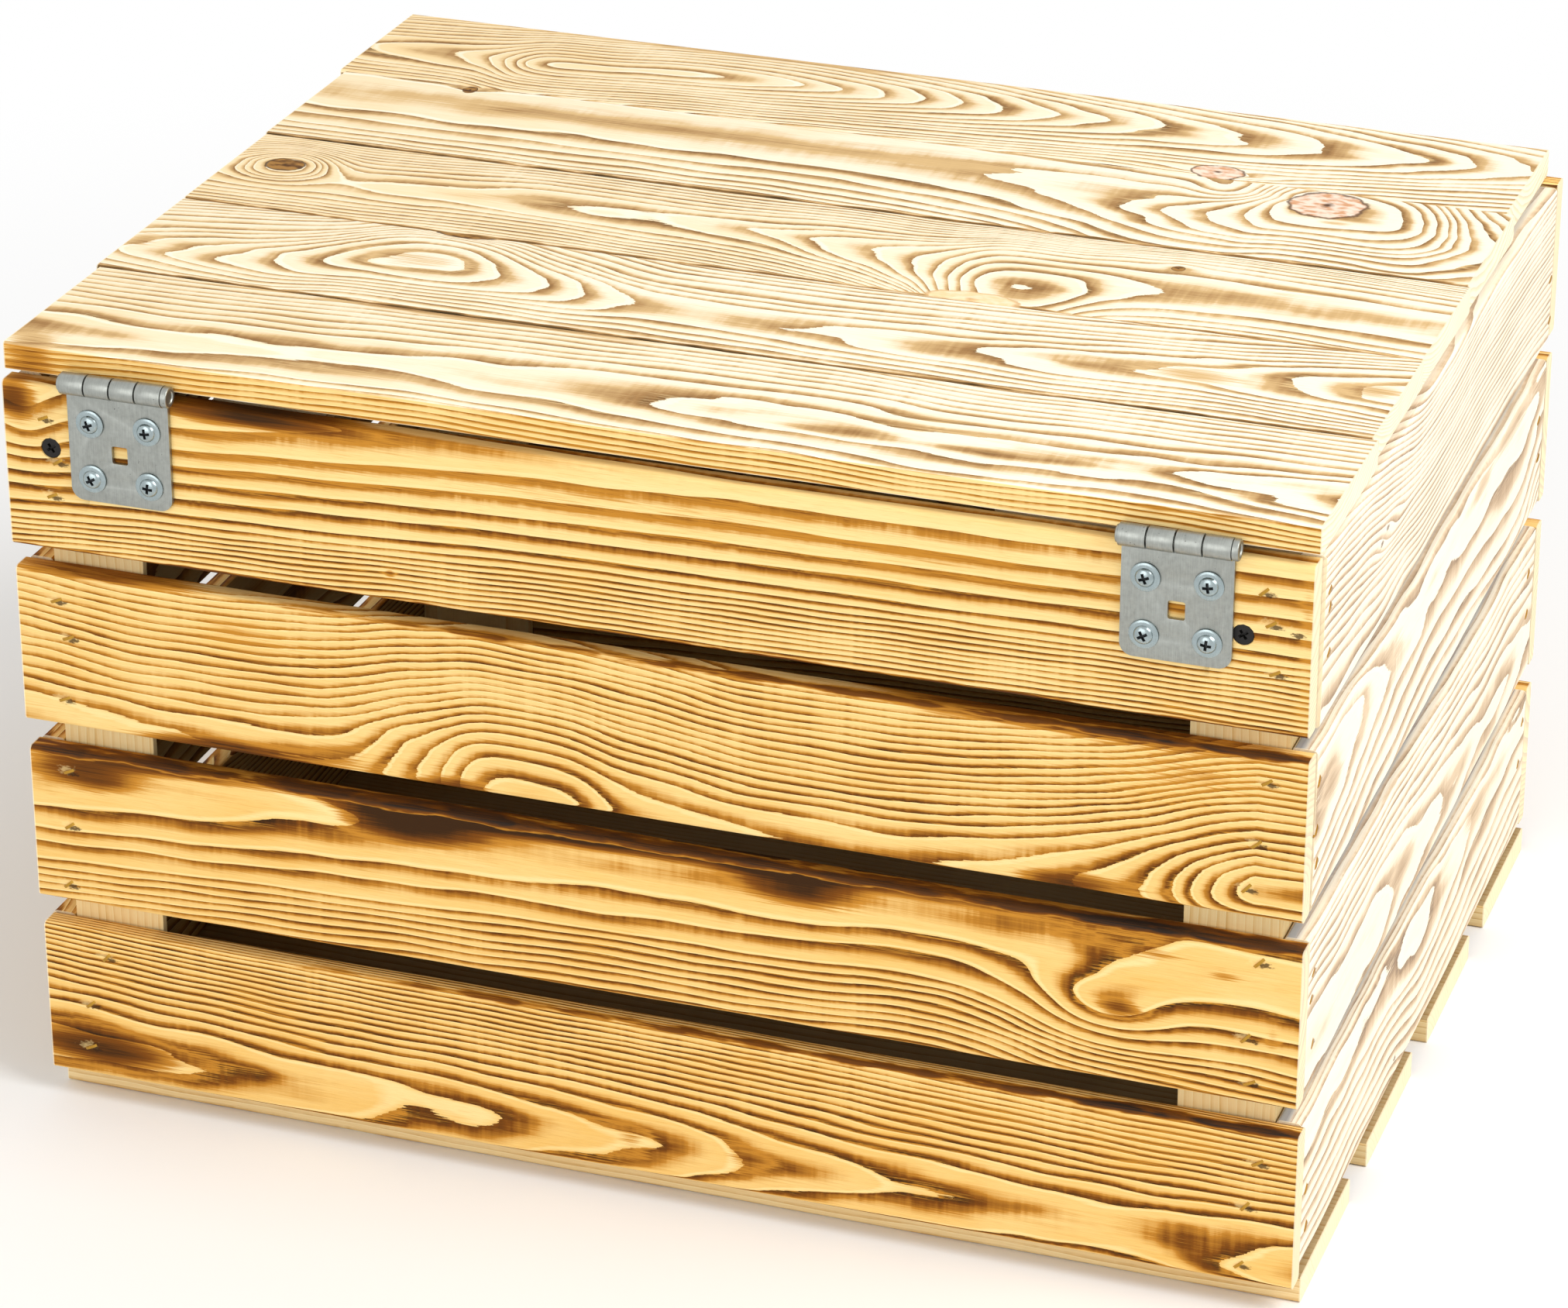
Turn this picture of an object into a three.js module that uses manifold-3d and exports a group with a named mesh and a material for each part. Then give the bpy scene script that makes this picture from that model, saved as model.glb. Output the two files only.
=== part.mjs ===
// A slatted wooden crate for kindling, with a boarded lid on two rolled butt hinges.
// Millimetres, +Z up. X runs along the crate, the hinges are on the -Y side, and the lid is closed.
// The origin is on the ground, under the middle of everything the crate covers.
import * as THREE from "three";
import { mergeVertices } from "three/addons/utils/BufferGeometryUtils.js";
import Module from "manifold-3d";

const wasm = await Module();
wasm.setup();

// ---------------------------------------------------------------- driving dimensions

// Crate
const crateLength = 500;
const crateDepth = 400;
const slatThickness = 10;
const slatArris = 1.8; // radius of the slats' brushed edges
const sawnArris = 1.2; // radius of the edges of the lid, the battens and the floor boards
const slatWidth = 64.7; // the three lower slats of each side
const slatGap = 11;
const topSlatWidth = 66.5;
const topSlatGap = 8.6;
const frontTopLift = 1.5; // the front top slat stands proud, and the lid lands on it
const rearSlatShift = [1.3, 0, -0.8, -1.6]; // how far each rear slat was nailed off centre, lowest first

// Floor boards, which run the length of the crate between the long slats
const floorThickness = 11;
const floorBoards = 4;
const floorBoardWidth = 75;
const floorShift = 2; // the floor boards stick out a little at the +X end

// Corner posts, sawn diagonally from square stock
const postLeg = 37;
const postTip = 3; // blunt width of the sawn tips
const postDrop = 2.7; // how far a post stops below the slats' rim

// Lid
const lidThickness = 11;
const lidBoardJoint = 0.4;
const lidBoardExtra = [2, -1.5, -1, 2, -1.5]; // how much wider each board is than its equal share
const lidBoardShift = [0, -2.2, -2.5, -3.5, -6.5]; // how far each board lies off centre
const lidGapAtHinges = 4.4; // from the rear rim up to the lid

// Lid battens
const battenWidth = 45;
const battenThickness = 11;
const battenInset = 77; // from a batten's outer edge to the end of the crate
const battenEndGap = 5; // from a batten's end to the long slats

// Hinges
const hingeInsetLeft = 46.1; // from the end of the crate to the middle of the hinge
const hingeInsetRight = 50.2;
const leafWidth = 40.7;
const leafReach = 47.5; // from the hinge axis to the leaf's far edge
const leafThickness = 1.6;
const leafCorner = 5;
const knuckles = 4;
const knuckleGap = 0.7;
const barrelRadius = 4.2;
const boxLeafRoll = [0, 302]; // degrees about the pin between which the sheet is rolled
const lidLeafRoll = [-112, 206];
const axisToLid = -0.1; // from the hinge axis up to the underside of the lid
const screwRows = [16.4, 38.4]; // distances of the two screw rows from the hinge axis
const screwColumns = 23; // between the two columns of screws
const windowWidth = 6.3; // the square window punched between the screws
const windowHeight = 7;
const windowCorner = 0.8;
const windowReach = 27.6;
const pinHeadRadius = 4;
const pinHeadLength = 2.3;
const pinDiscRadius = 3.3; // the pin's other end, riveted over
const pinDiscLength = 0.9;
const pinLip = 0.3; // bevel round the head and the disc
const pinEaseRadius = 2.6; // shallow dish in the end of the head
const pinEaseDepth = 0.5;

// Washer-head screws that hold the leaves
const washerRadius = 5.5;
const washerThickness = 0.8;
const washerRim = 0.3; // thickness at the washer's edge
const domeRadius = 3.6;
const domeHeight = 1.6;
const screwRadius = 2;
const screwLength = 10;
const screwTip = 2.4;
const recessSpan = 4.2;
const recessSlot = 1.1;
const recessDepth = 1.4;

// Black countersunk screws beside the hinges
const blackHeadRadius = 3.9;
const blackHeadDepth = 2.6;
const blackRadius = 1.8;
const blackLength = 25;
const blackTip = 2.7;
const blackInsetLeft = 17; // from the end of the crate
const blackInsetRight = 26.5;
const blackDropLeft = 25; // below the rim
const blackDropRight = 29.7;
const blackSink = 0.4; // how far the heads lie below the wood

// Clearances
const seat = 0.15; // between pieces that are nailed, screwed or laid against each other
const running = 0.3; // between pieces that move past each other
const holeEase = 0.3; // round a screw, all the way
const overshoot = 1; // how far a drill starts outside the wood

// Roundness
const arcSteps = 3; // facets in a quarter of a board's arris
const screwSteps = 12; // facets round a screw
const holeSteps = 12; // facets round a hole
const domeSteps = 3; // facets from the edge of a screw's dome to its top
const barrelSteps = 22; // facets round a knuckle
const cornerSteps = 4; // facets in a leaf's round corner

// ---------------------------------------------------------------- sizes that follow

const halfLength = crateLength / 2;
const halfDepth = crateDepth / 2;
const innerHalfLength = halfLength - slatThickness;
const innerHalfDepth = halfDepth - slatThickness;
const firstSlatZ = floorThickness + seat;
const slatPitch = slatWidth + slatGap;
const topSlatZ = firstSlatZ + 3 * slatPitch - slatGap + topSlatGap;
const rimZ = topSlatZ + topSlatWidth;
const frontRimZ = rimZ + frontTopLift;

// Each level of slats: its lower edge and its width, lowest first.
const levels = [0, 1, 2].map((n) => ({ z: firstSlatZ + n * slatPitch, width: slatWidth }));
levels.push({ z: topSlatZ, width: topSlatWidth });

// The hinge axis stands off the slats by its barrel. The lid drops a little from there to the front rim.
const axisY = -halfDepth - running - barrelRadius;
const lidUndersideZ = rimZ + lidGapAtHinges;
const axisZ = lidUndersideZ - axisToLid;
const lidRun = halfDepth - axisY;
const lidDroop = Math.atan((lidUndersideZ - frontRimZ - seat) / lidRun);

const boreRadius = barrelRadius - leafThickness;
const pinRadius = boreRadius - running;
const knucklePitch = leafWidth / knuckles;
const hinges = [
  { name: "left", x: -halfLength + hingeInsetLeft },
  { name: "right", x: halfLength - hingeInsetRight },
];

// ---------------------------------------------------------------- materials

function finish(color, roughness, metalness) {
  return new THREE.MeshStandardMaterial({ color, roughness, metalness });
}

const scorchedPine = finish(0xd39a55, 0.72, 0);
const lidPine = finish(0xe3bd84, 0.7, 0);
const floorPine = finish(0xcfa066, 0.8, 0);
const postPine = finish(0xb98a55, 0.85, 0);
const galvanised = finish(0xaeb3ad, 0.38, 1);
const zincScrew = finish(0xc3c8cc, 0.3, 1);
const blackScrew = finish(0x1b1a19, 0.5, 0.6);

// ---------------------------------------------------------------- tools

const degrees = (angle) => (angle * Math.PI) / 180;
const X = new THREE.Vector3(1, 0, 0);
const Y = new THREE.Vector3(0, 1, 0);
const Z = new THREE.Vector3(0, 0, 1);
const basis = (a, b, c) => new THREE.Matrix4().makeBasis(a, b, c);
// Turns an outline drawn in a plane and extruded towards its viewer so that it runs along an axis.
const runAlong = { x: basis(Y, Z, X), y: basis(Z, X, Y), z: basis(X, Y, Z) };

// A closed geometry as a solid that can be joined and cut.
function solidOf(geometry) {
  const bare = geometry.clone();
  bare.deleteAttribute("normal");
  bare.deleteAttribute("uv");
  const merged = mergeVertices(bare, 1e-4);
  const source = new wasm.Mesh({
    numProp: 3,
    vertProperties: new Float32Array(merged.attributes.position.array),
    triVerts: new Uint32Array(merged.index.array),
  });
  return new wasm.Manifold(source);
}

// A solid as a geometry that can be shown.
function geometryOf(solid) {
  const { vertProperties, triVerts, numProp } = solid.getMesh();
  const stride = vertProperties.length / numProp;
  const position = new Float32Array(stride * 3);
  for (let n = 0; n < stride; n++) {
    position.set(vertProperties.subarray(n * numProp, n * numProp + 3), n * 3);
  }
  const geometry = new THREE.BufferGeometry();
  geometry.setAttribute("position", new THREE.BufferAttribute(position, 3));
  geometry.setIndex(new THREE.BufferAttribute(new Uint32Array(triVerts), 1));
  geometry.computeVertexNormals();
  return geometry;
}

function cut(geometry, tools) {
  const body = tools.reduce((rest, tool) => rest.subtract(solidOf(tool)), solidOf(geometry));
  return geometryOf(body);
}

function join(geometries) {
  const [first, ...others] = geometries.map(solidOf);
  return geometryOf(others.reduce((whole, part) => whole.add(part), first));
}

function meshOf(name, geometry, material) {
  const mesh = new THREE.Mesh(geometry, material);
  mesh.name = name;
  return mesh;
}

// A rectangle with round corners, from (a0, b0) to (a1, b1).
function roundedRectangle(a0, b0, a1, b1, radius) {
  const cornerShare = 0.48; // a corner never takes more than this share of a side
  const r = Math.min(radius, cornerShare * (a1 - a0), cornerShare * (b1 - b0));
  const outline = new THREE.Shape();
  outline.absarc(a0 + r, b0 + r, r, Math.PI, 1.5 * Math.PI);
  outline.absarc(a1 - r, b0 + r, r, 1.5 * Math.PI, 2 * Math.PI);
  outline.absarc(a1 - r, b1 - r, r, 0, 0.5 * Math.PI);
  outline.absarc(a0 + r, b1 - r, r, 0.5 * Math.PI, Math.PI);
  outline.closePath();
  return outline;
}

// A sawn board that fills a box, with its four long edges rounded. It runs along "x", "y" or "z".
function board(run, low, high, arris) {
  const across = { x: ["y", "z"], y: ["z", "x"], z: ["x", "y"] }[run];
  const [a, b] = across;
  const outline = roundedRectangle(low[a], low[b], high[a], high[b], arris);
  const extrusion = { depth: high[run] - low[run], bevelEnabled: false, curveSegments: arcSteps };
  return new THREE.ExtrudeGeometry(outline, extrusion)
    .translate(0, 0, low[run])
    .applyMatrix4(runAlong[run]);
}

const at = (x, y, z) => new THREE.Vector3(x, y, z);

// A straight round tool for drilling, from one point to another along Y or Z.
function drill(radius, from, to) {
  const along = to.clone().sub(from);
  const turn = new THREE.Quaternion().setFromUnitVectors(Y, along.clone().normalize());
  const middle = from.clone().add(to).multiplyScalar(0.5);
  return new THREE.CylinderGeometry(radius, radius, along.length(), holeSteps)
    .applyQuaternion(turn)
    .translate(middle.x, middle.y, middle.z);
}

// A turned piece from a profile of [radius, height] pairs, lowest first, with its axis along +Z.
function turned(profile, steps = screwSteps) {
  const points = profile.map(([radius, height]) => new THREE.Vector2(radius, height));
  return new THREE.LatheGeometry(points, steps).rotateX(Math.PI / 2);
}

// ---------------------------------------------------------------- screws

// A cross for a driver, cut down from the top of a head.
function crossRecess(top, span, slot, depth) {
  const arm = (width, height) =>
    new THREE.BoxGeometry(width, height, 2 * depth).translate(0, 0, top);
  return [arm(span, slot), arm(slot, span)];
}

// A washer-head screw. It seats at z = 0, with its head above and its shank below.
function washerScrew() {
  const profile = [
    [0, -screwLength],
    [screwRadius, -screwLength + screwTip],
    [screwRadius, 0],
    [washerRadius, 0],
    [washerRadius, washerRim],
    [domeRadius, washerThickness],
  ];
  for (let n = 1; n <= domeSteps; n++) {
    const angle = (n / domeSteps) * 0.5 * Math.PI;
    const radius = n === domeSteps ? 0 : domeRadius * Math.cos(angle);
    profile.push([radius, washerThickness + domeHeight * Math.sin(angle)]);
  }
  const top = washerThickness + domeHeight;
  return cut(turned(profile), crossRecess(top, recessSpan, recessSlot, recessDepth));
}

// A countersunk screw whose flat head's top is at z = 0.
function countersunkScrew() {
  const profile = [
    [0, -blackLength],
    [blackRadius, -blackLength + blackTip],
    [blackRadius, -blackHeadDepth],
    [blackHeadRadius, 0],
    [0, 0],
  ];
  return cut(turned(profile), crossRecess(0, recessSpan, recessSlot, recessDepth));
}

const screwSpots = screwRows.flatMap((reach) => [
  { x: -screwColumns / 2, reach },
  { x: screwColumns / 2, reach },
]);
const leafScrewHole = screwRadius + holeEase;
const blackHole = blackRadius + holeEase;
const leafScrewDepth = screwLength + holeEase - leafThickness - 2 * seat;

// ---------------------------------------------------------------- hinges

// Where a knuckle starts and ends along the barrel, knuckle 0 at the -X end.
function knuckleSpan(n) {
  const start = -leafWidth / 2 + n * knucklePitch;
  const end = start + knucklePitch;
  const low = n > 0 ? start + knuckleGap / 2 : start;
  const high = n < knuckles - 1 ? end - knuckleGap / 2 : end;
  return [low, high];
}

// A leaf hangs down from a barrel whose axis is X. Its back is at y = back, and every other knuckle is its own.
// Its plate stops clear of the other leaf's knuckles. It runs in under its own as far as the axis where it
// is the roll's tangent, and otherwise halfway into the roll.
function leaf(firstKnuckle, back, [rollFrom, rollTo]) {
  const owns = (n) => n % 2 === firstKnuckle;
  const clear = -(barrelRadius + running);
  const tangent = back >= boreRadius;
  const reachIn = tangent ? 0 : -(boreRadius + leafThickness / 2);
  const half = leafWidth / 2;

  // The plate: round lower corners, and an upper edge that steps between its own knuckles and the other leaf's.
  const plate = new THREE.Shape();
  plate.absarc(half - leafCorner, -leafReach + leafCorner, leafCorner, 1.5 * Math.PI, 2 * Math.PI);
  for (let n = knuckles - 1; n >= 0; n--) {
    const start = -half + n * knucklePitch;
    const [low, high] = owns(n) ? knuckleSpan(n) : [start, start + knucklePitch];
    const left = owns(n) || n === 0 ? low : knuckleSpan(n - 1)[1];
    const right = owns(n) || n === knuckles - 1 ? high : knuckleSpan(n + 1)[0];
    plate.lineTo(right, owns(n) ? reachIn : clear);
    plate.lineTo(left, owns(n) ? reachIn : clear);
  }
  plate.absarc(-half + leafCorner, -leafReach + leafCorner, leafCorner, Math.PI, 1.5 * Math.PI);
  plate.closePath();
  for (const spot of screwSpots) {
    const round = new THREE.Path();
    round.absarc(spot.x, -spot.reach, leafScrewHole, 0, 2 * Math.PI, true);
    plate.holes.push(new THREE.Path(round.getPoints(holeSteps)));
  }
  const windowOutline = roundedRectangle(
    -windowWidth / 2,
    -windowReach - windowHeight / 2,
    windowWidth / 2,
    -windowReach + windowHeight / 2,
    windowCorner,
  );
  plate.holes.push(new THREE.Path(windowOutline.getPoints(2).reverse()));
  const pressing = { depth: leafThickness, bevelEnabled: false, curveSegments: cornerSteps };
  const sheet = new THREE.ExtrudeGeometry(plate, pressing)
    .rotateX(Math.PI / 2)
    .translate(0, back, 0);

  // The knuckles: the same sheet rolled round the pin, and open by a narrow seam.
  const roll = new THREE.Shape();
  roll.absarc(0, 0, barrelRadius, degrees(rollFrom), degrees(rollTo), false);
  roll.absarc(0, 0, boreRadius, degrees(rollTo), degrees(rollFrom), true);
  roll.closePath();
  const rolls = [];
  for (let n = firstKnuckle; n < knuckles; n += 2) {
    const [low, high] = knuckleSpan(n);
    const extrusion = { depth: high - low, bevelEnabled: false, curveSegments: barrelSteps };
    rolls.push(new THREE.ExtrudeGeometry(roll, extrusion).translate(0, 0, low).applyMatrix4(runAlong.x));
  }
  return join([sheet, ...rolls]);
}

// The pin: a shaft, riveted over to a thin disc at its -X end, with a dished head at its +X end.
function pin() {
  const end = leafWidth / 2 + running;
  return turned(
    [
      [0, -end - pinDiscLength],
      [pinDiscRadius - pinLip, -end - pinDiscLength],
      [pinDiscRadius, -end - pinDiscLength + pinLip],
      [pinDiscRadius, -end],
      [pinRadius, -end],
      [pinRadius, end],
      [pinHeadRadius, end],
      [pinHeadRadius, end + pinHeadLength - pinLip],
      [pinHeadRadius - pinLip, end + pinHeadLength],
      [pinEaseRadius, end + pinHeadLength],
      [pinEaseRadius - pinLip, end + pinHeadLength - pinEaseDepth],
      [0, end + pinHeadLength - pinEaseDepth],
    ],
    barrelSteps,
  ).applyMatrix4(runAlong.x);
}

// ---------------------------------------------------------------- crate

const crate = new THREE.Group();
const blackScrews = [
  { name: "left", x: -halfLength + blackInsetLeft, z: rimZ - blackDropLeft },
  { name: "right", x: halfLength - blackInsetRight, z: rimZ - blackDropRight },
];

// The holes in the top rear slat, for the hinges' screws and for the two black screws.
function rearTopHoles() {
  const holes = [];
  const outside = -halfDepth - overshoot;
  for (const hinge of hinges) {
    for (const spot of screwSpots) {
      const x = hinge.x + spot.x;
      const z = axisZ - spot.reach;
      holes.push(drill(leafScrewHole, at(x, outside, z), at(x, -halfDepth + leafScrewDepth, z)));
    }
  }
  for (const screw of blackScrews) {
    const inside = -innerHalfDepth + overshoot;
    const through = drill(blackHole, at(screw.x, outside, screw.z), at(screw.x, inside, screw.z));
    const countersink = turned([
      [0, -blackHeadDepth],
      [blackHole, -blackHeadDepth],
      [blackHeadRadius + holeEase, 0],
      [blackHeadRadius + holeEase, blackSink + overshoot],
      [0, blackSink + overshoot],
    ]);
    countersink.rotateX(Math.PI / 2).translate(screw.x, -halfDepth + blackSink, screw.z);
    holes.push(through, countersink);
  }
  return holes;
}

// Rear and front slats run the whole length, and cover the ends of the side slats.
levels.forEach(({ z, width }, n) => {
  const top = n === levels.length - 1;
  const shift = rearSlatShift[n];
  const rear = board(
    "x",
    at(-halfLength + shift, -halfDepth, z),
    at(halfLength + shift, -innerHalfDepth, z + width),
    slatArris,
  );
  crate.add(meshOf(`rear_slat_${n + 1}`, top ? cut(rear, rearTopHoles()) : rear, scorchedPine));
  const lift = top ? frontTopLift : 0;
  const front = board(
    "x",
    at(-halfLength, innerHalfDepth, z + lift),
    at(halfLength, halfDepth, z + width + lift),
    slatArris,
  );
  crate.add(meshOf(`front_slat_${n + 1}`, front, scorchedPine));
});

// Side slats fit between the long slats.
levels.forEach(({ z, width }, n) => {
  for (const [side, low] of [["left", -halfLength], ["right", innerHalfLength]]) {
    const slat = board(
      "y",
      at(low, -innerHalfDepth + seat, z),
      at(low + slatThickness, innerHalfDepth - seat, z + width),
      slatArris,
    );
    crate.add(meshOf(`${side}_slat_${n + 1}`, slat, scorchedPine));
  }
});

// A corner post: square stock sawn along its diagonal, with blunt tips, in the corner given by two signs.
function post(signX, signY) {
  const outline = new THREE.Shape();
  outline.moveTo(0, 0);
  outline.lineTo(-postLeg, 0);
  outline.lineTo(-postLeg, -postTip);
  outline.lineTo(-postTip, -postLeg);
  outline.lineTo(0, -postLeg);
  outline.closePath();
  const height = rimZ - postDrop - firstSlatZ;
  const geometry = new THREE.ExtrudeGeometry(outline, { depth: height, bevelEnabled: false });
  const turns = { "1,1": 0, "-1,1": 1, "-1,-1": 2, "1,-1": 3 }[`${signX},${signY}`];
  return geometry
    .rotateZ((turns * Math.PI) / 2)
    .translate(signX * (innerHalfLength - seat), signY * (innerHalfDepth - seat), firstSlatZ);
}

for (const [side, signX] of [["left", -1], ["right", 1]]) {
  const screw = blackScrews.find((one) => one.name === side);
  const start = -innerHalfDepth - overshoot;
  const bottom = -halfDepth + blackSink + blackLength + holeEase;
  const hole = drill(blackHole, at(screw.x, start, screw.z), at(screw.x, bottom, screw.z));
  crate.add(meshOf(`rear_${side}_post`, cut(post(signX, -1), [hole]), postPine));
  crate.add(meshOf(`front_${side}_post`, post(signX, 1), postPine));
}

// Floor boards, spread evenly between the long slats.
const floorRoom = 2 * (innerHalfDepth - seat) - floorBoardWidth;
for (let n = 0; n < floorBoards; n++) {
  const y = -innerHalfDepth + seat + (n * floorRoom) / (floorBoards - 1);
  const plank = board(
    "x",
    at(-halfLength + floorShift, y, 0),
    at(halfLength + floorShift, y + floorBoardWidth, floorThickness),
    sawnArris,
  );
  crate.add(meshOf(`floor_board_${n + 1}`, plank, floorPine));
}

// Black screws, flush in the top rear slat.
for (const screw of blackScrews) {
  const mesh = meshOf(`black_screw_${screw.name}`, countersunkScrew(), blackScrew);
  mesh.rotation.x = Math.PI / 2;
  mesh.position.set(screw.x, -halfDepth + blackSink, screw.z);
  crate.add(mesh);
}

// ---------------------------------------------------------------- lid

// The lid is drawn from the hinge axis, so that its droop is one turn about that axis.
const lid = new THREE.Group();
lid.position.set(0, axisY, axisZ);
lid.rotation.x = -lidDroop;
const lidEdge = -halfDepth - axisY;
const lidBottom = axisToLid;
const lidBoards = lidBoardExtra.length;
const equalShare = (crateDepth - (lidBoards - 1) * lidBoardJoint) / lidBoards;

// The holes for the lid leaves' screws that fall in a board between two distances from the axis.
function lidHoles(from, to) {
  const holes = [];
  for (const hinge of hinges) {
    for (const spot of screwSpots.filter(({ reach }) => reach > from && reach < to)) {
      const x = hinge.x + spot.x;
      const start = at(x, spot.reach, lidBottom - overshoot);
      holes.push(drill(leafScrewHole, start, at(x, spot.reach, lidBottom + leafScrewDepth)));
    }
  }
  return holes;
}

let edge = lidEdge;
lidBoardExtra.forEach((extra, n) => {
  const width = equalShare + extra;
  const plank = board(
    "x",
    at(-halfLength + lidBoardShift[n], edge, lidBottom),
    at(halfLength + lidBoardShift[n], edge + width, lidBottom + lidThickness),
    sawnArris,
  );
  const holes = lidHoles(edge, edge + width);
  lid.add(meshOf(`lid_board_${n + 1}`, holes.length ? cut(plank, holes) : plank, lidPine));
  edge += width + lidBoardJoint;
});

const battenOuter = halfLength - battenInset;
for (const [side, low] of [["left", -battenOuter], ["right", battenOuter - battenWidth]]) {
  const batten = board(
    "y",
    at(low, lidEdge + slatThickness + battenEndGap, lidBottom - seat - battenThickness),
    at(low + battenWidth, lidEdge + crateDepth - slatThickness - battenEndGap, lidBottom - seat),
    sawnArris,
  );
  lid.add(meshOf(`lid_batten_${side}`, batten, floorPine));
}

// Two hinges: the box leaf and pin stay with the crate, and the lid leaf turns with the lid.
const screwShape = washerScrew();
const boxFace = axisY + barrelRadius - leafThickness - seat;
const lidBack = lidBottom - seat;
for (const { name, x } of hinges) {
  const boxLeafShape = leaf(1, barrelRadius, boxLeafRoll);
  const boxLeaf = meshOf(`hinge_${name}_box_leaf`, boxLeafShape, galvanised);
  boxLeaf.position.set(x, axisY, axisZ);
  crate.add(boxLeaf);

  const hingePin = meshOf(`hinge_${name}_pin`, pin(), galvanised);
  hingePin.position.set(x, axisY, axisZ);
  crate.add(hingePin);

  const lidLeafShape = leaf(0, lidBack, lidLeafRoll);
  const lidLeaf = meshOf(`hinge_${name}_lid_leaf`, lidLeafShape, galvanised);
  lidLeaf.rotation.x = Math.PI / 2;
  lidLeaf.position.set(x, 0, 0);
  lid.add(lidLeaf);

  screwSpots.forEach((spot, n) => {
    const boxScrew = meshOf(`hinge_${name}_box_screw_${n + 1}`, screwShape, zincScrew);
    boxScrew.rotation.x = Math.PI / 2;
    boxScrew.position.set(x + spot.x, boxFace, axisZ - spot.reach);
    crate.add(boxScrew);

    const lidScrew = meshOf(`hinge_${name}_lid_screw_${n + 1}`, screwShape, zincScrew);
    lidScrew.rotation.x = Math.PI;
    lidScrew.position.set(x + spot.x, spot.reach, lidBack - leafThickness - seat);
    lid.add(lidScrew);
  });
}

// ---------------------------------------------------------------- whole box

const kindlingBox = new THREE.Group();
kindlingBox.add(crate, lid);
const reach = new THREE.Box3().setFromObject(kindlingBox, true);
const middle = reach.getCenter(new THREE.Vector3());
kindlingBox.position.set(-middle.x, -middle.y, -reach.min.z);

export default kindlingBox;
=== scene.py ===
# %% [markdown]
# # A kindling box of flamed pine
#
# The real box is a crate of scorched and brushed softwood slats. A lid of five boards turns on two
# galvanised butt hinges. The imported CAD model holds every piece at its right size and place. This lesson
# dresses it: the boards get worn edges and a grain that runs through the wood, the hinges get their
# sheet-metal detail, and studio light shows them from the photograph's own angle.

# %% Load the frame
import math

import bmesh
import bpy
from mathutils import Matrix, Vector, noise


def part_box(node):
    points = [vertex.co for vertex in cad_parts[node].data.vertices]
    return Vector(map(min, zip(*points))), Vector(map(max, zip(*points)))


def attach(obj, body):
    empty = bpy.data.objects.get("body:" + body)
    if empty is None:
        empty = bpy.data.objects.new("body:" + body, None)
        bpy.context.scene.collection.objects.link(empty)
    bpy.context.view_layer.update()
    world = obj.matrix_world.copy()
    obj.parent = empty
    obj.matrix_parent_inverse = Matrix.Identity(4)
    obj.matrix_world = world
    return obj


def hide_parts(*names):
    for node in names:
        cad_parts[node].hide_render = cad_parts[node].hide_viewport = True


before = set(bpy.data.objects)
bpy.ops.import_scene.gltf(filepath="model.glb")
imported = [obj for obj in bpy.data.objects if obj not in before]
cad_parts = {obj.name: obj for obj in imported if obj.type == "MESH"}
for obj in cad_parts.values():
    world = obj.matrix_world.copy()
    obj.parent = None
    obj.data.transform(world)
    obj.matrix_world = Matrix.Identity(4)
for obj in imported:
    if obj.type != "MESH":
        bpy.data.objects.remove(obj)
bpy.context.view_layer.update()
MM = 0.001

# %% [markdown]
# ## Camera
#
# The view was worked out from the box's own corners: where the camera stands, which way it looks, and how
# far the picture was cropped off centre. The camera comes first, so that every later step can be judged
# through it.

# %% Camera
PHOTO_WIDTH, PHOTO_HEIGHT = 2024, 1688
SENSOR = 36.0
FOCAL_PIXELS = 6976.7
CENTRE_PIXEL = (1215.47, 710.62)
CAMERA_PLACE = Vector((639.24, -1842.41, 1078.08)) * MM
VIEW_AZIMUTH, VIEW_ELEVATION, VIEW_ROLL = (math.radians(angle) for angle in (17.6395, 24.5646, 0.7087))


def make_camera():
    camera = bpy.data.objects.new("camera", bpy.data.cameras.new("camera"))
    data = camera.data
    data.sensor_width = SENSOR
    data.lens = FOCAL_PIXELS / PHOTO_WIDTH * SENSOR
    data.shift_x = 0.5 - CENTRE_PIXEL[0] / PHOTO_WIDTH
    data.shift_y = (CENTRE_PIXEL[1] - PHOTO_HEIGHT / 2) / PHOTO_WIDTH
    data.clip_start, data.clip_end = 0.1, 50
    turn = Matrix.Rotation(VIEW_AZIMUTH, 4, "Z") @ Matrix.Rotation(math.pi / 2 - VIEW_ELEVATION, 4, "X")
    camera.matrix_world = Matrix.Translation(CAMERA_PLACE) @ turn @ Matrix.Rotation(VIEW_ROLL, 4, "Z")
    bpy.context.scene.collection.objects.link(camera)
    bpy.context.scene.camera = camera
    return camera


camera = make_camera()
print("lens in mm:", round(camera.data.lens, 1))

# %% [markdown]
# ## Node helpers
#
# Each material is a long sum, and sums are easier to read as formulas than as a list of nodes and links.
# These helpers add one node each and give back its result, so that a material can be written as
# arithmetic.


# %% Sums
def feed(tree, socket, value):
    """Gives a socket a fixed value, or joins it to another node's result."""
    if isinstance(value, bpy.types.NodeSocket):
        tree.links.new(value, socket)
    else:
        socket.default_value = value


def new_node(tree, kind, **settings):
    node = tree.nodes.new("ShaderNode" + kind)
    for name, setting in settings.items():
        setattr(node, name, setting)
    return node


def calc(tree, operation, *values, clamp=False):
    node = new_node(tree, "Math", operation=operation, use_clamp=clamp)
    for socket, value in zip(node.inputs, values):
        feed(tree, socket, value)
    return node.outputs[0]


def total(tree, *values):
    result = values[0]
    for value in values[1:]:
        result = calc(tree, "ADD", result, value)
    return result


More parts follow.
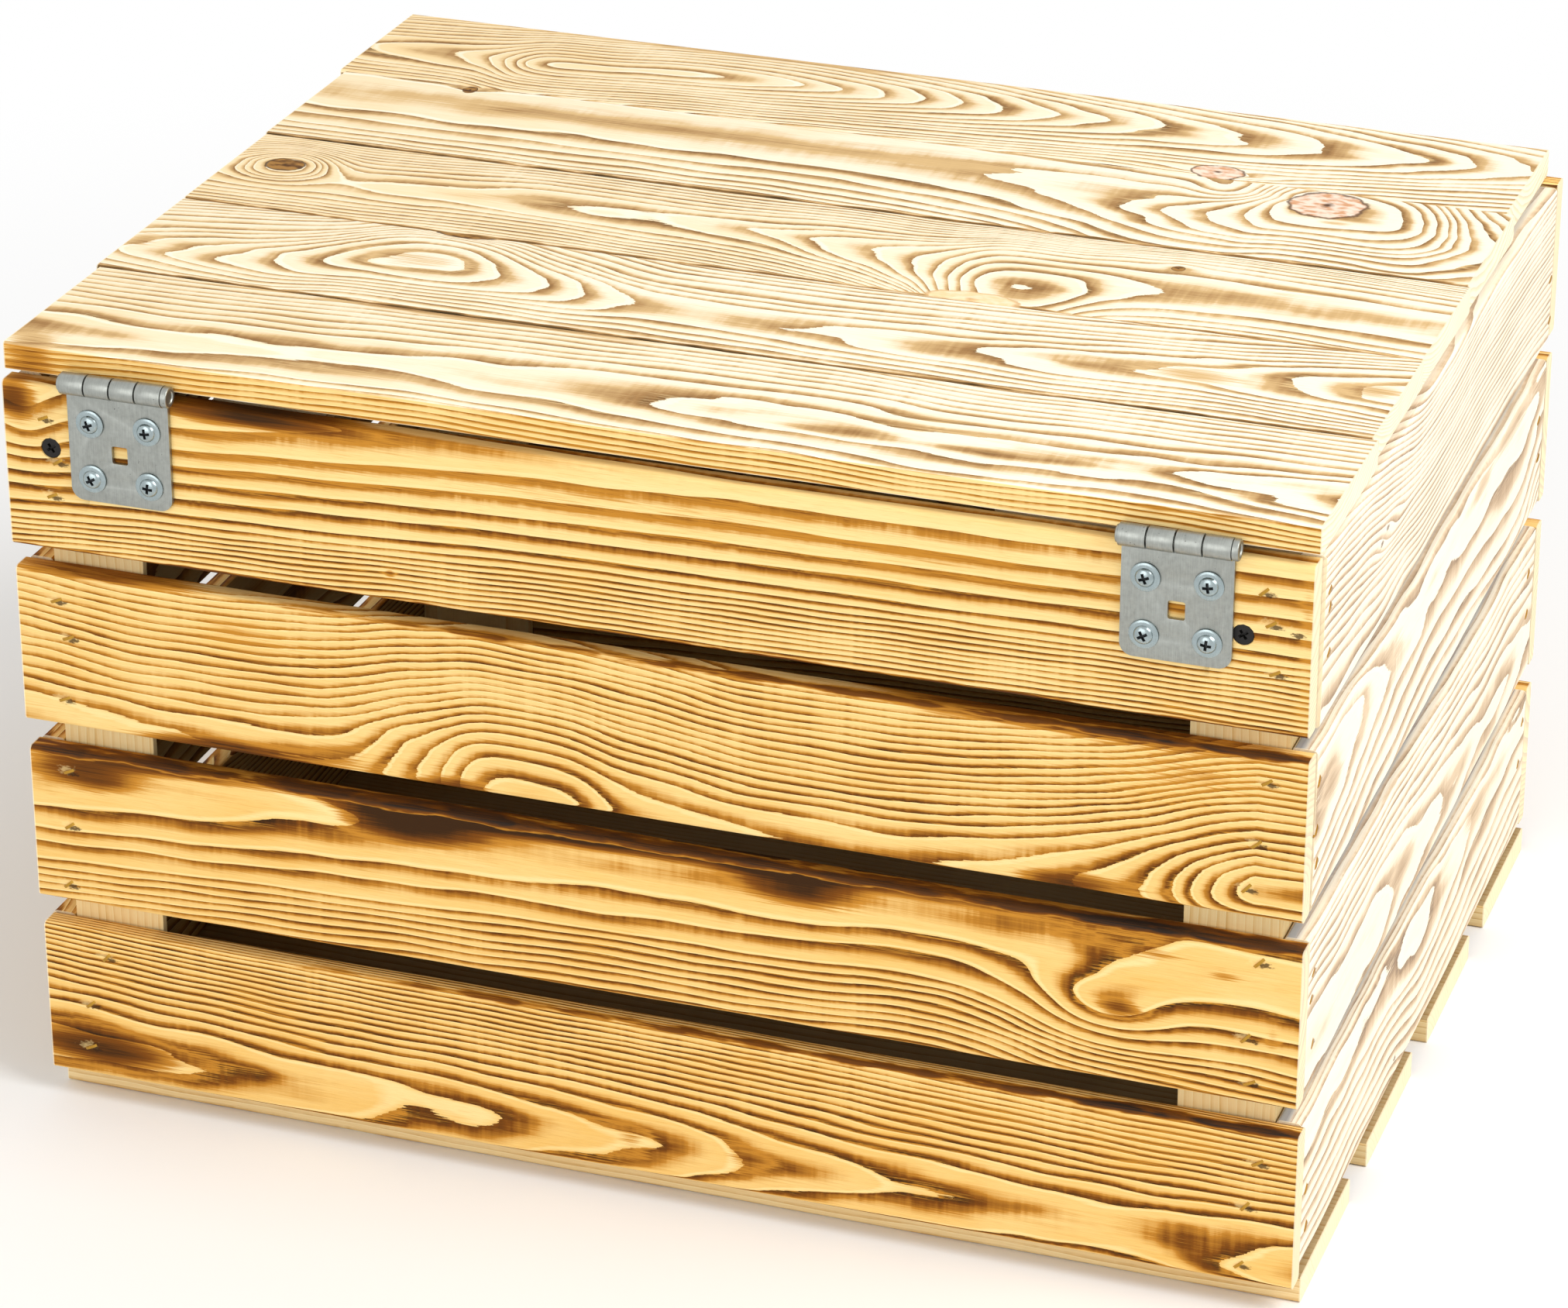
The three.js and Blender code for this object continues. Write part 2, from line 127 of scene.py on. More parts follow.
def times(tree, *values):
    result = values[0]
    for value in values[1:]:
        result = calc(tree, "MULTIPLY", result, value)
    return result


def split(tree, vector):
    node = new_node(tree, "SeparateXYZ")
    tree.links.new(vector, node.inputs[0])
    return node.outputs


print("sums are written with:", [helper.__name__ for helper in (calc, total, times, split)])


# %% Ranges and curves
def stretch(tree, value, low, high, to_low=0.0, to_high=1.0, smooth=False):
    """Turns the range from low to high into another one, and stays at its ends beyond it."""
    node = new_node(tree, "MapRange", interpolation_type="SMOOTHSTEP" if smooth else "LINEAR", clamp=True)
    settings = {"Value": value, "From Min": low, "From Max": high, "To Min": to_low, "To Max": to_high}
    for name, setting in settings.items():
        feed(tree, node.inputs[name], setting)
    return node.outputs[0]


def curve(tree, value, points, low=(0.0, 0.0), high=(1.0, 1.0), handles="AUTO_CLAMPED"):
    """A drawn curve through the points. Its box runs from low to high, and it's flat outside the box."""
    node = new_node(tree, "FloatCurve")
    line = node.mapping.curves[0]
    placed = [[(c - a) / (b - a) for c, a, b in zip(point, low, high)] for point in points]
    line.points[0].location = placed[0]
    line.points[1].location = placed[-1]
    for across, up in placed[1:-1]:
        line.points.new(across, up)
    for point in line.points:
        point.handle_type = handles
    node.mapping.update()
    feed(tree, node.inputs["Value"], stretch(tree, value, low[0], high[0]))
    return calc(tree, "MULTIPLY_ADD", node.outputs[0], high[1] - low[1], low[1])


print("ranges and curves are written with:", [helper.__name__ for helper in (stretch, curve)])


# %% Noise and colour
def cloud(tree, place, size, detail=2.0, rough=0.5):
    """Smooth noise about 0. Size is how long its lumps are along each axis, in mm."""
    sized = new_node(tree, "VectorMath", operation="DIVIDE")
    feed(tree, sized.inputs[0], place)
    sized.inputs[1].default_value = size
    node = new_node(tree, "TexNoise")
    tree.links.new(sized.outputs[0], node.inputs["Vector"])
    node.inputs["Scale"].default_value = 1.0
    node.inputs["Detail"].default_value = detail
    node.inputs["Roughness"].default_value = rough
    return calc(tree, "SUBTRACT", node.outputs["Fac"], 0.5)


def blend_colour(tree, share, first, second):
    node = new_node(tree, "Mix", data_type="RGBA")
    feed(tree, node.inputs["Factor"], share)
    # The node has a set of sockets for each kind of value. Inputs 6 and 7 and output 2 are the colours.
    feed(tree, node.inputs[6], first)
    feed(tree, node.inputs[7], second)
    return node.outputs[2]


def srgb(red, green, blue):
    """A colour as picked on screen, 0 to 255, in the linear values that nodes use."""
    linear = [c / 255 / 12.92 if c <= 10 else ((c / 255 + 0.055) / 1.055) ** 2.4 for c in (red, green, blue)]
    return (*linear, 1.0)


print("middle grey in linear values:", round(srgb(128, 128, 128)[0], 3))


# %% Node groups and materials
def group_of(name, inputs, outputs):
    """An empty node group with the named inputs and outputs, and its two ends."""
    tree = bpy.data.node_groups.new(name, "ShaderNodeTree")
    kinds = {"vector": "NodeSocketVector", "number": "NodeSocketFloat", "colour": "NodeSocketColor"}
    for sockets, side in ((inputs, "INPUT"), (outputs, "OUTPUT")):
        for label, kind in sockets.items():
            tree.interface.new_socket(label, in_out=side, socket_type=kinds[kind])
    return tree, tree.nodes.new("NodeGroupInput").outputs, tree.nodes.new("NodeGroupOutput").inputs


def use_group(tree, group, **values):
    node = new_node(tree, "Group", node_tree=group)
    for name, value in values.items():
        feed(tree, node.inputs[name.replace("_", " ")], value)
    return node.outputs


def new_material(name):
    material = bpy.data.materials.new(name)
    material.use_nodes = True
    return material


def surface_node(material):
    return next(node for node in material.node_tree.nodes if node.type == "BSDF_PRINCIPLED")


print("materials so far:", len(bpy.data.materials))

# %% [markdown]
# ## Floor and light
#
# The product picture has a plain white ground. A large pale floor catches the soft shadow and turns into
# pure white further out, and a white world shows behind it. One broad lamp stands to the right, because
# the photograph's right side is the brightest, and a weaker one fills the hinge side.

# %% Floor
FLOOR_HALF = 8.0
FLOOR_COLOUR = (0.88, 0.88, 0.88, 1)
SHADOW_REACH, WHITE_FROM = 0.3, 1.15


def make_floor():
    mesh = bmesh.new()
    bmesh.ops.create_grid(mesh, x_segments=1, y_segments=1, size=FLOOR_HALF)
    data = bpy.data.meshes.new("floor")
    mesh.to_mesh(data)
    mesh.free()
    floor = bpy.data.objects.new("floor", data)
    bpy.context.scene.collection.objects.link(floor)
    material = new_material("pale floor")
    tree = material.node_tree
    tree.nodes.clear()
    paper = new_node(tree, "BsdfDiffuse")
    paper.inputs["Color"].default_value = FLOOR_COLOUR
    white = new_node(tree, "Emission")
    output = new_node(tree, "OutputMaterial")
    mix = new_node(tree, "MixShader")
    tree.links.new(paper.outputs[0], mix.inputs[1])
    tree.links.new(white.outputs[0], mix.inputs[2])
    length = new_node(tree, "VectorMath", operation="LENGTH")
    tree.links.new(new_node(tree, "TexCoord").outputs["Object"], length.inputs[0])
    share = stretch(tree, length.outputs["Value"], SHADOW_REACH, WHITE_FROM, smooth=True)
    feed(tree, mix.inputs[0], share)
    tree.links.new(mix.outputs[0], output.inputs["Surface"])
    data.materials.append(material)


make_floor()
print("the floor turns white between", SHADOW_REACH, "and", WHITE_FROM, "m from its middle")

# %% World and lamps
BOX_MIDDLE = Vector((0, 0, 0.16))
WORLD_STRENGTH = 0.72
WORLD_COLOUR = (1.0, 0.99, 0.97, 1)
# Place in metres, width in metres, watts.
LAMPS = {
    "right softbox": ((1.9, -0.5, 2.1), 1.5, 50),
    "hinge side fill": ((-0.5, -2.5, 1.1), 1.8, 16.5),
}


def make_world():
    world = bpy.data.worlds.new("studio")
    bpy.context.scene.world = world
    world.use_nodes = True
    tree = world.node_tree
    tree.nodes.clear()
    output = new_node(tree, "OutputWorld")
    path = new_node(tree, "LightPath").outputs
    seen = calc(tree, "ADD", path["Is Camera Ray"], path["Is Glossy Ray"])
    seen = calc(tree, "ADD", seen, path["Is Transmission Ray"], clamp=True)
    soft = new_node(tree, "Background")
    soft.inputs["Strength"].default_value = WORLD_STRENGTH
    soft.inputs["Color"].default_value = WORLD_COLOUR
    white = new_node(tree, "Background")
    white.inputs["Color"].default_value = (1, 1, 1, 1)
    mix = new_node(tree, "MixShader")
    tree.links.new(seen, mix.inputs[0])
    tree.links.new(soft.outputs[0], mix.inputs[1])
    tree.links.new(white.outputs[0], mix.inputs[2])
    tree.links.new(mix.outputs[0], output.inputs["Surface"])


def make_lamp(name, place, size, watts):
    lamp = bpy.data.objects.new(name, bpy.data.lights.new(name, "AREA"))
    lamp.data.shape = "SQUARE"
    lamp.data.size = size
    lamp.data.energy = watts
    lamp.location = place
    lamp.rotation_mode = "QUATERNION"
    lamp.rotation_quaternion = (BOX_MIDDLE - Vector(place)).to_track_quat("-Z", "Y")
    bpy.context.scene.collection.objects.link(lamp)


make_world()
for name, lamp in LAMPS.items():
    make_lamp(name, *lamp)
bpy.context.scene.view_settings.view_transform = "Standard"
print("lamps:", list(LAMPS))

# %% [markdown]
# ## Growth rings
#
# A board is a slice of a trunk. Its lines are where the saw cut the trunk's rings, and the rings follow
# the pith. So the pattern isn't painted on the faces: every point of the wood knows its distance from the
# pith, and that distance decides its place in the ring. Where the pith comes close to the face and leaves
# again, the rings come out as ovals, and where it runs aslant, as long tongues. Ends and edges get
# matching lines by themselves. Knots and scorched patches are soft ovals that are added to the same sums.

# %% A spot: a soft oval in the wood
OVAL = {
    "Place": "vector", "Along": "number", "Across": "number", "Half length": "number",
    "Half width": "number",
}


def squared_reach(tree, given):
    """How far a point lies from an oval's middle, squared, with 1 at the oval's rim."""
    parts = split(tree, given["Place"])
    along = calc(tree, "DIVIDE", calc(tree, "SUBTRACT", parts["X"], given["Along"]), given["Half length"])
    across = calc(tree, "DIVIDE", calc(tree, "SUBTRACT", parts["Z"], given["Across"]), given["Half width"])
    return calc(tree, "MULTIPLY_ADD", along, along, times(tree, across, across))


def make_spot_group():
    tree, given, result = group_of("spot", OVAL, {"Spot": "number"})
    fading = calc(tree, "EXPONENT", times(tree, squared_reach(tree, given), -1.0))
    tree.links.new(fading, result["Spot"])
    return tree


spot_group = make_spot_group()


def spots(tree, place, given):
    """The sum of soft ovals, each given as along, across, half length, half width and weight."""
    result = 0.0
    for along, across, half_length, half_width, weight in given:
        spot = use_group(
            tree, spot_group, Place=place, Along=along, Across=across, Half_length=half_length,
            Half_width=half_width,
        )
        result = calc(tree, "MULTIPLY_ADD", spot["Spot"], weight, result)
    return result


print("nodes in a spot:", len(spot_group.nodes))

# %% Distance from the pith
WANDER_SIZE = (55, 15, 15)
ROUGH_SIZE = (14, 0.9, 0.9)


def make_distance_group():
    numbers = ("Pith height", "Pith depth", "Bulge", "Wander", "Rough")
    inputs = {"Place": "vector", **dict.fromkeys(numbers, "number")}
    tree, given, result = group_of("distance from the pith", inputs, {"Distance": "number"})
    place = given["Place"]
    parts = split(tree, place)
    high = calc(tree, "SUBTRACT", parts["Z"], given["Pith height"])
    deep = calc(tree, "ADD", parts["Y"], given["Pith depth"])
    distance = calc(tree, "SQRT", calc(tree, "MULTIPLY_ADD", high, high, times(tree, deep, deep)))
    broad = times(tree, cloud(tree, place, WANDER_SIZE, 1.0), given["Wander"])
    fine = times(tree, cloud(tree, place, ROUGH_SIZE, 3.0, 0.6), given["Rough"])
    tree.links.new(total(tree, distance, broad, fine, given["Bulge"]), result["Distance"])
    return tree


distance_group = make_distance_group()
print("nodes in the distance:", len(distance_group.nodes))

# %% Years
MOST_YEARS = 36
WANDER = 1.1


def year_count(tree, place, path, rings, bulges, rough):
    """Counts the years at a point: a whole number where a ring starts, and fractions inside it.

    The path holds three rows: steps along the board, and the pith's height and depth at each. Rings are
    the distances from the pith at which they start.
    """
    along = split(tree, place)["X"]
    steps, heights, depths = path
    start, stop = steps[0], steps[-1]
    pith_height = curve(tree, along, list(zip(steps, heights)), (start, -100), (stop, 100))
    pith_depth = curve(tree, along, list(zip(steps, depths)), (start, 0), (stop, 100))
    gaps = sorted(b - a for a, b in zip(rings, rings[1:]))
    usual = gaps[len(gaps) // 2]
    distance = use_group(
        tree, distance_group, Place=place, Pith_height=pith_height, Pith_depth=pith_depth,
        Bulge=spots(tree, place, bulges), Wander=WANDER * usual, Rough=rough * usual,
    )["Distance"]
    # Two wide rings come before the first one and usual rings after the last one, to cover the whole board.
    radii = [rings[0] - 2 * gaps[-1], rings[0] - gaps[-1], *rings]
    while len(radii) < MOST_YEARS:
        radii.append(radii[-1] + usual)
    years = [(radius, n) for n, radius in enumerate(radii)]
    return curve(tree, distance, years, (radii[0], 0), (radii[-1], len(radii) - 1), handles="VECTOR")


print("each board has", MOST_YEARS - 1, "years")

# %% [markdown]
# ## Flamed wood
#
# The slats were run under a flame and wire-brushed. Each ring begins with soft spring wood, which the
# flame browns at once, and ends in dense summer wood that stays pale. So a ring starts at a sharp dark
# line and fades through gold to a pale rim. Where the flame lingered, whole patches go brown, and sharp
# edges turn to charcoal.

# %% Flamed wood
# How brown a ring gets, from its first spring wood at 0 to its last summer wood at 1.
RING_PROFILE = (
    (0, 1.2), (0.06, 1.1), (0.14, 0.86), (0.28, 0.62), (0.42, 0.32), (0.58, 0.1), (0.75, 0), (1, 0),
)
# Each tint with the amount of heat at which it begins to show and at which it covers.
LINE_TINTS = (("Toffee", 0.06, 0.45), ("Brown", 0.36, 0.85), ("Dark", 0.84, 1.3))
SCORCH_TINTS = (("Toffee", 0.28, 0.5), ("Brown", 0.42, 0.85), ("Dark", 0.75, 1.3))
CHAR_TINTS = (("Toffee", 0.25, 0.45), ("Brown", 0.38, 0.6), ("Charcoal", 0.55, 1.1))
# Sizes in mm, along the board, into it and across it.
FIBRE, THIN_FIBRE, PORES = (26, 0.55, 0.55), (40, 0.28, 0.28), (7, 0.22, 0.22)
DRIFT, BRUSH_BARS = (60, 18, 18), (3.5, 60, 60)


def burn(tree, colour, heat, tints, given, smooth=False):
    """Lays each tint over the colour as the heat rises."""
    for tint, start, stop in tints:
        colour = blend_colour(tree, stretch(tree, heat, start, stop, smooth=smooth), colour, given[tint])
    return colour


def ring_heat(tree, given, ring, fibre, drift):
    """How brown the flame made a point. Every year and every stretch of the board took it differently."""
    year = new_node(tree, "TexWhiteNoise", noise_dimensions="1D")
    tree.links.new(total(tree, calc(tree, "FLOOR", given["Phase"]), given["Seed"]), year.inputs["W"])
    strength = calc(tree, "MULTIPLY_ADD", year.outputs["Value"], 0.5, 0.62)
    profile = curve(tree, ring, RING_PROFILE, high=(1.0, 1.2))
    bars = cloud(tree, given["Place"], BRUSH_BARS, 2.0)
    passing = stretch(tree, calc(tree, "MULTIPLY_ADD", bars, 0.35, drift), -0.2, 0.2, 0.45, 1.35)
    thin = cloud(tree, given["Place"], THIN_FIBRE, 1.0)
    streaks = calc(tree, "MULTIPLY_ADD", thin, 0.3, times(tree, fibre, 0.3))
    return total(tree, times(tree, profile, strength, passing, given["Contrast"]), streaks)


def make_flame_group():
    numbers = ("Phase", "Seed", "Contrast", "Tone", "Scorch", "Char")
    tints = ("Pale", "Gold", "Toffee", "Brown", "Dark", "Charcoal")
    inputs = {"Place": "vector", **dict.fromkeys(numbers, "number"), **dict.fromkeys(tints, "colour")}
    tree, given, result = group_of("flamed wood", inputs, {"Colour": "colour", "Height": "number"})
    ring = calc(tree, "FRACT", given["Phase"])
    fibre = cloud(tree, given["Place"], FIBRE, 3.0, 0.6)
    pores = cloud(tree, given["Place"], PORES, 1.0)
    drift = cloud(tree, given["Place"], DRIFT, 2.0)
    line = ring_heat(tree, given, ring, fibre, drift)
    # The last of a ring's summer wood shows as a light rim before the next dark start.
    rim = stretch(tree, calc(tree, "ABSOLUTE", calc(tree, "SUBTRACT", ring, 0.91)), 0.08, 0.02)
    unevenness = total(tree, times(tree, drift, 0.9), times(tree, fibre, 0.5), times(tree, rim, -0.6))
    tone = total(tree, given["Tone"], unevenness)
    colour = blend_colour(tree, stretch(tree, tone, 0.0, 1.0), given["Pale"], given["Gold"])
    colour = blend_colour(tree, stretch(tree, pores, 0.05, 0.4, 0.0, 0.4), colour, given["Toffee"])
    colour = burn(tree, colour, line, LINE_TINTS, given)
    rough_fibre = times(tree, fibre, 0.6)
    scorch = total(tree, given["Scorch"], rough_fibre, times(tree, line, 0.25), times(tree, drift, 0.4))
    colour = burn(tree, colour, scorch, SCORCH_TINTS, given, smooth=True)
    char = total(tree, given["Char"], rough_fibre, times(tree, drift, 0.8))
    tree.links.new(burn(tree, colour, char, CHAR_TINTS, given), result["Colour"])
    # Brushing leaves the browned spring wood lower than the rest.
    height = total(tree, times(tree, line, -0.7), times(tree, fibre, 0.9), times(tree, pores, 0.4))
    tree.links.new(height, result["Height"])
    return tree


flame_group = make_flame_group()
print("nodes in the flamed wood:", len(flame_group.nodes))

# %% [markdown]
# ## Knots
#
# A knot is the root of a branch, cut across. The saw shows it as an oval with a dark rim of bark, flesh
# of its own colour inside and a small heart. A group lays one oval over the wood, and each knot uses it
# once.

# %% Knots
def make_knot_group():
    inputs = {**OVAL, "Ground": "colour", "Heart": "colour", "Flesh": "colour", "Rim": "colour"}
    tree, given, result = group_of("knot", inputs, {"Colour": "colour"})
    place = given["Place"]
    reach = calc(tree, "SQRT", squared_reach(tree, given))
    reach = calc(tree, "MULTIPLY_ADD", cloud(tree, place, (5, 5, 5), 3.0), 0.35, reach)
    stain = stretch(tree, cloud(tree, place, (6, 3, 3), 2.0), -0.12, 0.15, smooth=True)
    inside = blend_colour(tree, stain, given["Flesh"], given["Heart"])
    inside = blend_colour(tree, stretch(tree, reach, 0.22, 0.05), inside, given["Rim"])
    colour = blend_colour(tree, stretch(tree, reach, 1.02, 0.94), given["Ground"], inside)
    rim = stretch(tree, calc(tree, "ABSOLUTE", calc(tree, "SUBTRACT", reach, 1.0)), 0.09, 0.02, 0.0, 0.85)
    tree.links.new(blend_colour(tree, rim, colour, given["Rim"]), result["Colour"])
    return tree


knot_group = make_knot_group()
KNOTS = {
    "brown": dict(Heart=srgb(92, 58, 28), Flesh=srgb(168, 122, 62), Rim=srgb(62, 42, 22)),
    "pink": dict(Heart=srgb(214, 158, 116), Flesh=srgb(246, 224, 204), Rim=srgb(98, 70, 52)),
    "pale": dict(Heart=srgb(250, 226, 190), Flesh=srgb(246, 212, 162), Rim=srgb(214, 176, 124)),
}
print("kinds of knot:", list(KNOTS))

# %% [markdown]
# ## Wood finish
#
# One finish serves every board. It turns a point of the board into the board's own millimetres, counts
# the years there, and adds what the flame and the saw did, a blue-grey on the right slats' ledges and a
# painted shade on the box's inner faces. Each side of the box has its own colours, because the hinge side
# was burnt hard and the others lightly, and the lid and the right side are painted paler as painted light.


# %% Place on a board
def board_axes(along, out):
    """The numbers of the axes that run along a board, through it and across it."""
    length, thickness = "XYZ".index(along), "XYZ".index(out[1])
    return length, thickness, 3 - length - thickness


def board_place(tree, low, high, along, out):
    """The point in the board's own millimetres: X along it, Y into it from its outer face, Z across it."""
    middle = (low + high) / 2
    face, into = (low, 1) if out[0] == "-" else (high, -1)
    parts = split(tree, new_node(tree, "TexCoord").outputs["Object"])
    joined = new_node(tree, "CombineXYZ")
    origins, signs = (middle, face, middle), (1, into, 1)
    for axis, target, origin, sign in zip(board_axes(along, out), "XYZ", origins, signs):
        shifted = calc(tree, "SUBTRACT", parts[axis], origin[axis])
        tree.links.new(times(tree, shifted, sign / MM), joined.inputs[target])
    return joined.outputs[0]


print("axes of a rear slat:", board_axes("X", "-Y"))

# %% Colours
REAR_COLOURS = dict(
    Pale=srgb(252, 222, 154), Gold=srgb(240, 190, 100), Toffee=srgb(202, 138, 46),
    Brown=srgb(124, 70, 12), Dark=srgb(58, 34, 10), Charcoal=srgb(46, 35, 27),
)
# The lid's colours are paler than its wood as painted light, for the bright light on its top.
LID_COLOURS_WITH_PAINTED_LIGHT = dict(
    Pale=srgb(253, 244, 222), Gold=srgb(246, 218, 166), Toffee=srgb(222, 187, 132),
    Brown=srgb(166, 125, 76), Dark=srgb(104, 70, 32), Charcoal=srgb(70, 54, 30),
)
# The right side's colours are paler than its wood as painted light, for the lamp that faces it.
SIDE_COLOURS_WITH_PAINTED_LIGHT = dict(
    Pale=srgb(250, 241, 222), Gold=srgb(248, 233, 206), Toffee=srgb(226, 202, 170),
    Brown=srgb(188, 160, 130), Dark=srgb(130, 108, 90), Charcoal=srgb(120, 108, 102),
)
POST_COLOURS = dict(
    Pale=srgb(250, 228, 174), Gold=srgb(245, 214, 152), Toffee=srgb(234, 196, 128),
    Brown=srgb(212, 168, 98), Dark=srgb(170, 130, 78), Charcoal=srgb(90, 70, 50),
)
INSIDE_COLOURS = dict(
    Pale=srgb(246, 224, 174), Gold=srgb(234, 202, 142), Toffee=srgb(208, 166, 100),
    Brown=srgb(170, 122, 62), Dark=srgb(110, 74, 36), Charcoal=srgb(60, 50, 40),
)
# SHADED is a dark brown painted on the box's inner faces as painted shade; the blue-grey is for the right
# slats' ledges.
LEDGE_GREY, SHADED, SAWN_END = srgb(132, 140, 152), srgb(84, 54, 26), srgb(252, 238, 206)
print("middle brown of the rear slats:", [round(c, 3) for c in REAR_COLOURS["Brown"][:3]])


# %% Charred edges and torn marks
def charred_edges(tree, place, half_length, half_width, upper, lower, depth):
    """Charcoal on both long edges. Each has an amount at the board's low and high end, and a width in mm."""
    parts = split(tree, place)
    lift = cloud(tree, place, (22, 5, 5), 3.0)
    char = 0.0
    for (at_start, at_end, width), side in ((upper, 1), (lower, -1)):
        amount = stretch(tree, parts["X"], -half_length, half_length, at_start, at_end)
        edge = calc(tree, "MULTIPLY_ADD", parts["Z"], -side, half_width)
        edge = calc(tree, "MULTIPLY_ADD", lift, 3.0 * width, edge)
        edge = calc(tree, "MULTIPLY_ADD", parts["Y"], depth, edge)
        char = calc(tree, "MULTIPLY_ADD", stretch(tree, edge, 1.8 * width, 0.4 * width), amount, char)
    return char


def torn_marks(tree, place, colour, marks, colours):
    """Where a staple went in, fibres stand up: a pale tuft with a dark dent beside it."""
    torn = times(tree, cloud(tree, place, (1.6, 0.8, 0.8), 2.0), 1.4)
    tufts = spots(tree, place, [(along - 1, across + 0.5, 4.0, 2.0, 1.0) for along, across in marks])
    dents = spots(tree, place, [(along + 2, across - 0.8, 3.4, 1.5, 1.0) for along, across in marks])
    tuft = stretch(tree, total(tree, tufts, torn), 0.4, 0.9, 0.0, 0.42)
    dent = stretch(tree, total(tree, dents, torn), 0.5, 0.85, 0.0, 0.85)
    return blend_colour(tree, dent, blend_colour(tree, tuft, colour, colours["Pale"]), colours["Dark"])


print("edges and marks are made with:", charred_edges.__name__, torn_marks.__name__)

# %% The finish of one board
WOOD_ROUGHNESS, WOOD_SPECULAR = 0.7, 0.12
BRUSHED_RELIEF, BRUSHED_DEPTH = 0.5, 0.35 * MM
SAWN_SHARE = 0.72


def pine(
    name, low, high, along, out, colours, path, rings, bulges=(), rough=0.096, contrast=(1.0, 1.0),
    tone=(0.5, 0.5), scorches=(), upper_char=(0, 0, 1), lower_char=(0, 0, 1), char_depth=0.35, soot=0.0,
    inner_shade=0.0, knots=(), marks=(), edge_colours=None,
):
    """A finish for one board. Its box is low to high, along is its length's axis and out its outer side.

    Tone and contrast are given for the board's low and high end. Sizes and places are in mm.
    """
    material = new_material(name)
    tree = material.node_tree
    place = board_place(tree, low, high, along, out)
    parts = split(tree, place)
    length, thickness, width = ((high - low)[axis] / MM for axis in board_axes(along, out))
    half_length, half_width = length / 2, width / 2
    burning = dict(
        Place=place, Phase=year_count(tree, place, path, rings, bulges, rough),
        Seed=float(sum(map(ord, name)) % 97), Scorch=spots(tree, place, scorches),
        Char=charred_edges(tree, place, half_length, half_width, upper_char, lower_char, char_depth),
        Tone=stretch(tree, parts["X"], -half_length, half_length, *tone),
        Contrast=stretch(tree, parts["X"], -half_length, half_length, *contrast),
    )
    flame = use_group(tree, flame_group, **burning, **colours)
    colour = flame["Colour"]
    if edge_colours:
        # The lower narrow face lies to the hinge side and was burnt as hard as the slats there. It takes the
        # rear slats' colours, without the painted light of the lid's top.
        narrow = stretch(tree, parts["Z"], 0.35 - half_width, 0.2 - half_width)
        burnt = use_group(tree, flame_group, **burning, **edge_colours)["Colour"]
        colour = blend_colour(tree, narrow, colour, burnt)
    if inner_shade:
        # The inner faces are blended towards the dark SHADED colour: painted shade for the inside of the
        # box.
        back = stretch(tree, parts["Y"], thickness - 0.8, thickness - 0.5, 0.0, inner_shade)
        colour = blend_colour(tree, back, colour, SHADED)
    if soot:
        # A blue-grey lies on the ledge that an upper narrow face makes, deeper in from its outer arris,
        # under the slat above.
        ledge = stretch(tree, parts["Z"], half_width - 0.7, half_width - 0.4)
        greyed = times(tree, ledge, stretch(tree, parts["Y"], 3.0, 6.5, 0.0, soot, smooth=True))
        colour = blend_colour(tree, greyed, colour, LEDGE_GREY)
    # The saw cut the ends last, so the flame never reached them.
    from_middle = calc(tree, "ABSOLUTE", parts["X"])
    sawn = stretch(tree, from_middle, half_length - 0.5, half_length - 0.25, 0.0, SAWN_SHARE)
    colour = blend_colour(tree, sawn, colour, SAWN_END)
    for along_knot, across_knot, long, wide, kind in knots:
        colour = use_group(
            tree, knot_group, Place=place, Along=along_knot, Across=across_knot, Half_length=long,
            Half_width=wide, Ground=colour, **KNOTS[kind],
        )["Colour"]
    if marks:
        colour = torn_marks(tree, place, colour, marks, colours)
    surface = surface_node(material)
    feed(tree, surface.inputs["Base Color"], colour)
    surface.inputs["Roughness"].default_value = WOOD_ROUGHNESS
    surface.inputs["Specular IOR Level"].default_value = WOOD_SPECULAR
    bump = new_node(tree, "Bump")
    bump.inputs["Strength"].default_value = BRUSHED_RELIEF
    bump.inputs["Distance"].default_value = BRUSHED_DEPTH
    feed(tree, bump.inputs["Height"], flame["Height"])
    tree.links.new(bump.outputs["Normal"], surface.inputs["Normal"])
    return material


print("brushed relief in mm:", BRUSHED_DEPTH / MM)

# %% [markdown]
# ## Worn boards
#
# Sawn boards are never quite straight: brushing eats into their edges by a few tenths of a millimetre.
# Each board here starts as a copy of its CAD solid, gets cross cuts along its length so that it can bend,
# and is then pushed in a little wherever a smooth noise says so. Nothing is pushed outwards, so a board
# never grows.

# %% Copies of CAD solids
SAME_PLACE = 1e-6


def link_piece(name, mesh, material, sharp=35):
    """Makes an object of a finished mesh, smooth except across its sharp edges."""
    data = bpy.data.meshes.new(name)
    mesh.to_mesh(data)
    mesh.free()
    for polygon in data.polygons:
        polygon.use_smooth = True
    data.set_sharp_from_angle(angle=math.radians(sharp))
    data.materials.append(material)
    piece = bpy.data.objects.new(name, data)
    bpy.context.scene.collection.objects.link(piece)
    return piece


def copy_of(node):
    """The CAD node's loose triangles, joined where they meet and merged where they are flat."""
    mesh = bmesh.new()
    mesh.from_mesh(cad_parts[node].data)
    bmesh.ops.remove_doubles(mesh, verts=mesh.verts, dist=SAME_PLACE)
    bmesh.ops.dissolve_limit(mesh, angle_limit=math.radians(0.5), verts=mesh.verts, edges=mesh.edges)
    return mesh


print("CAD nodes:", len(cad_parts))

# %% Worn boards
CUT_EVERY = 9 * MM
WEAR = 0.3 * MM
LITTLE_WEAR = 0.1 * MM
WEAR_LENGTH = 45 * MM
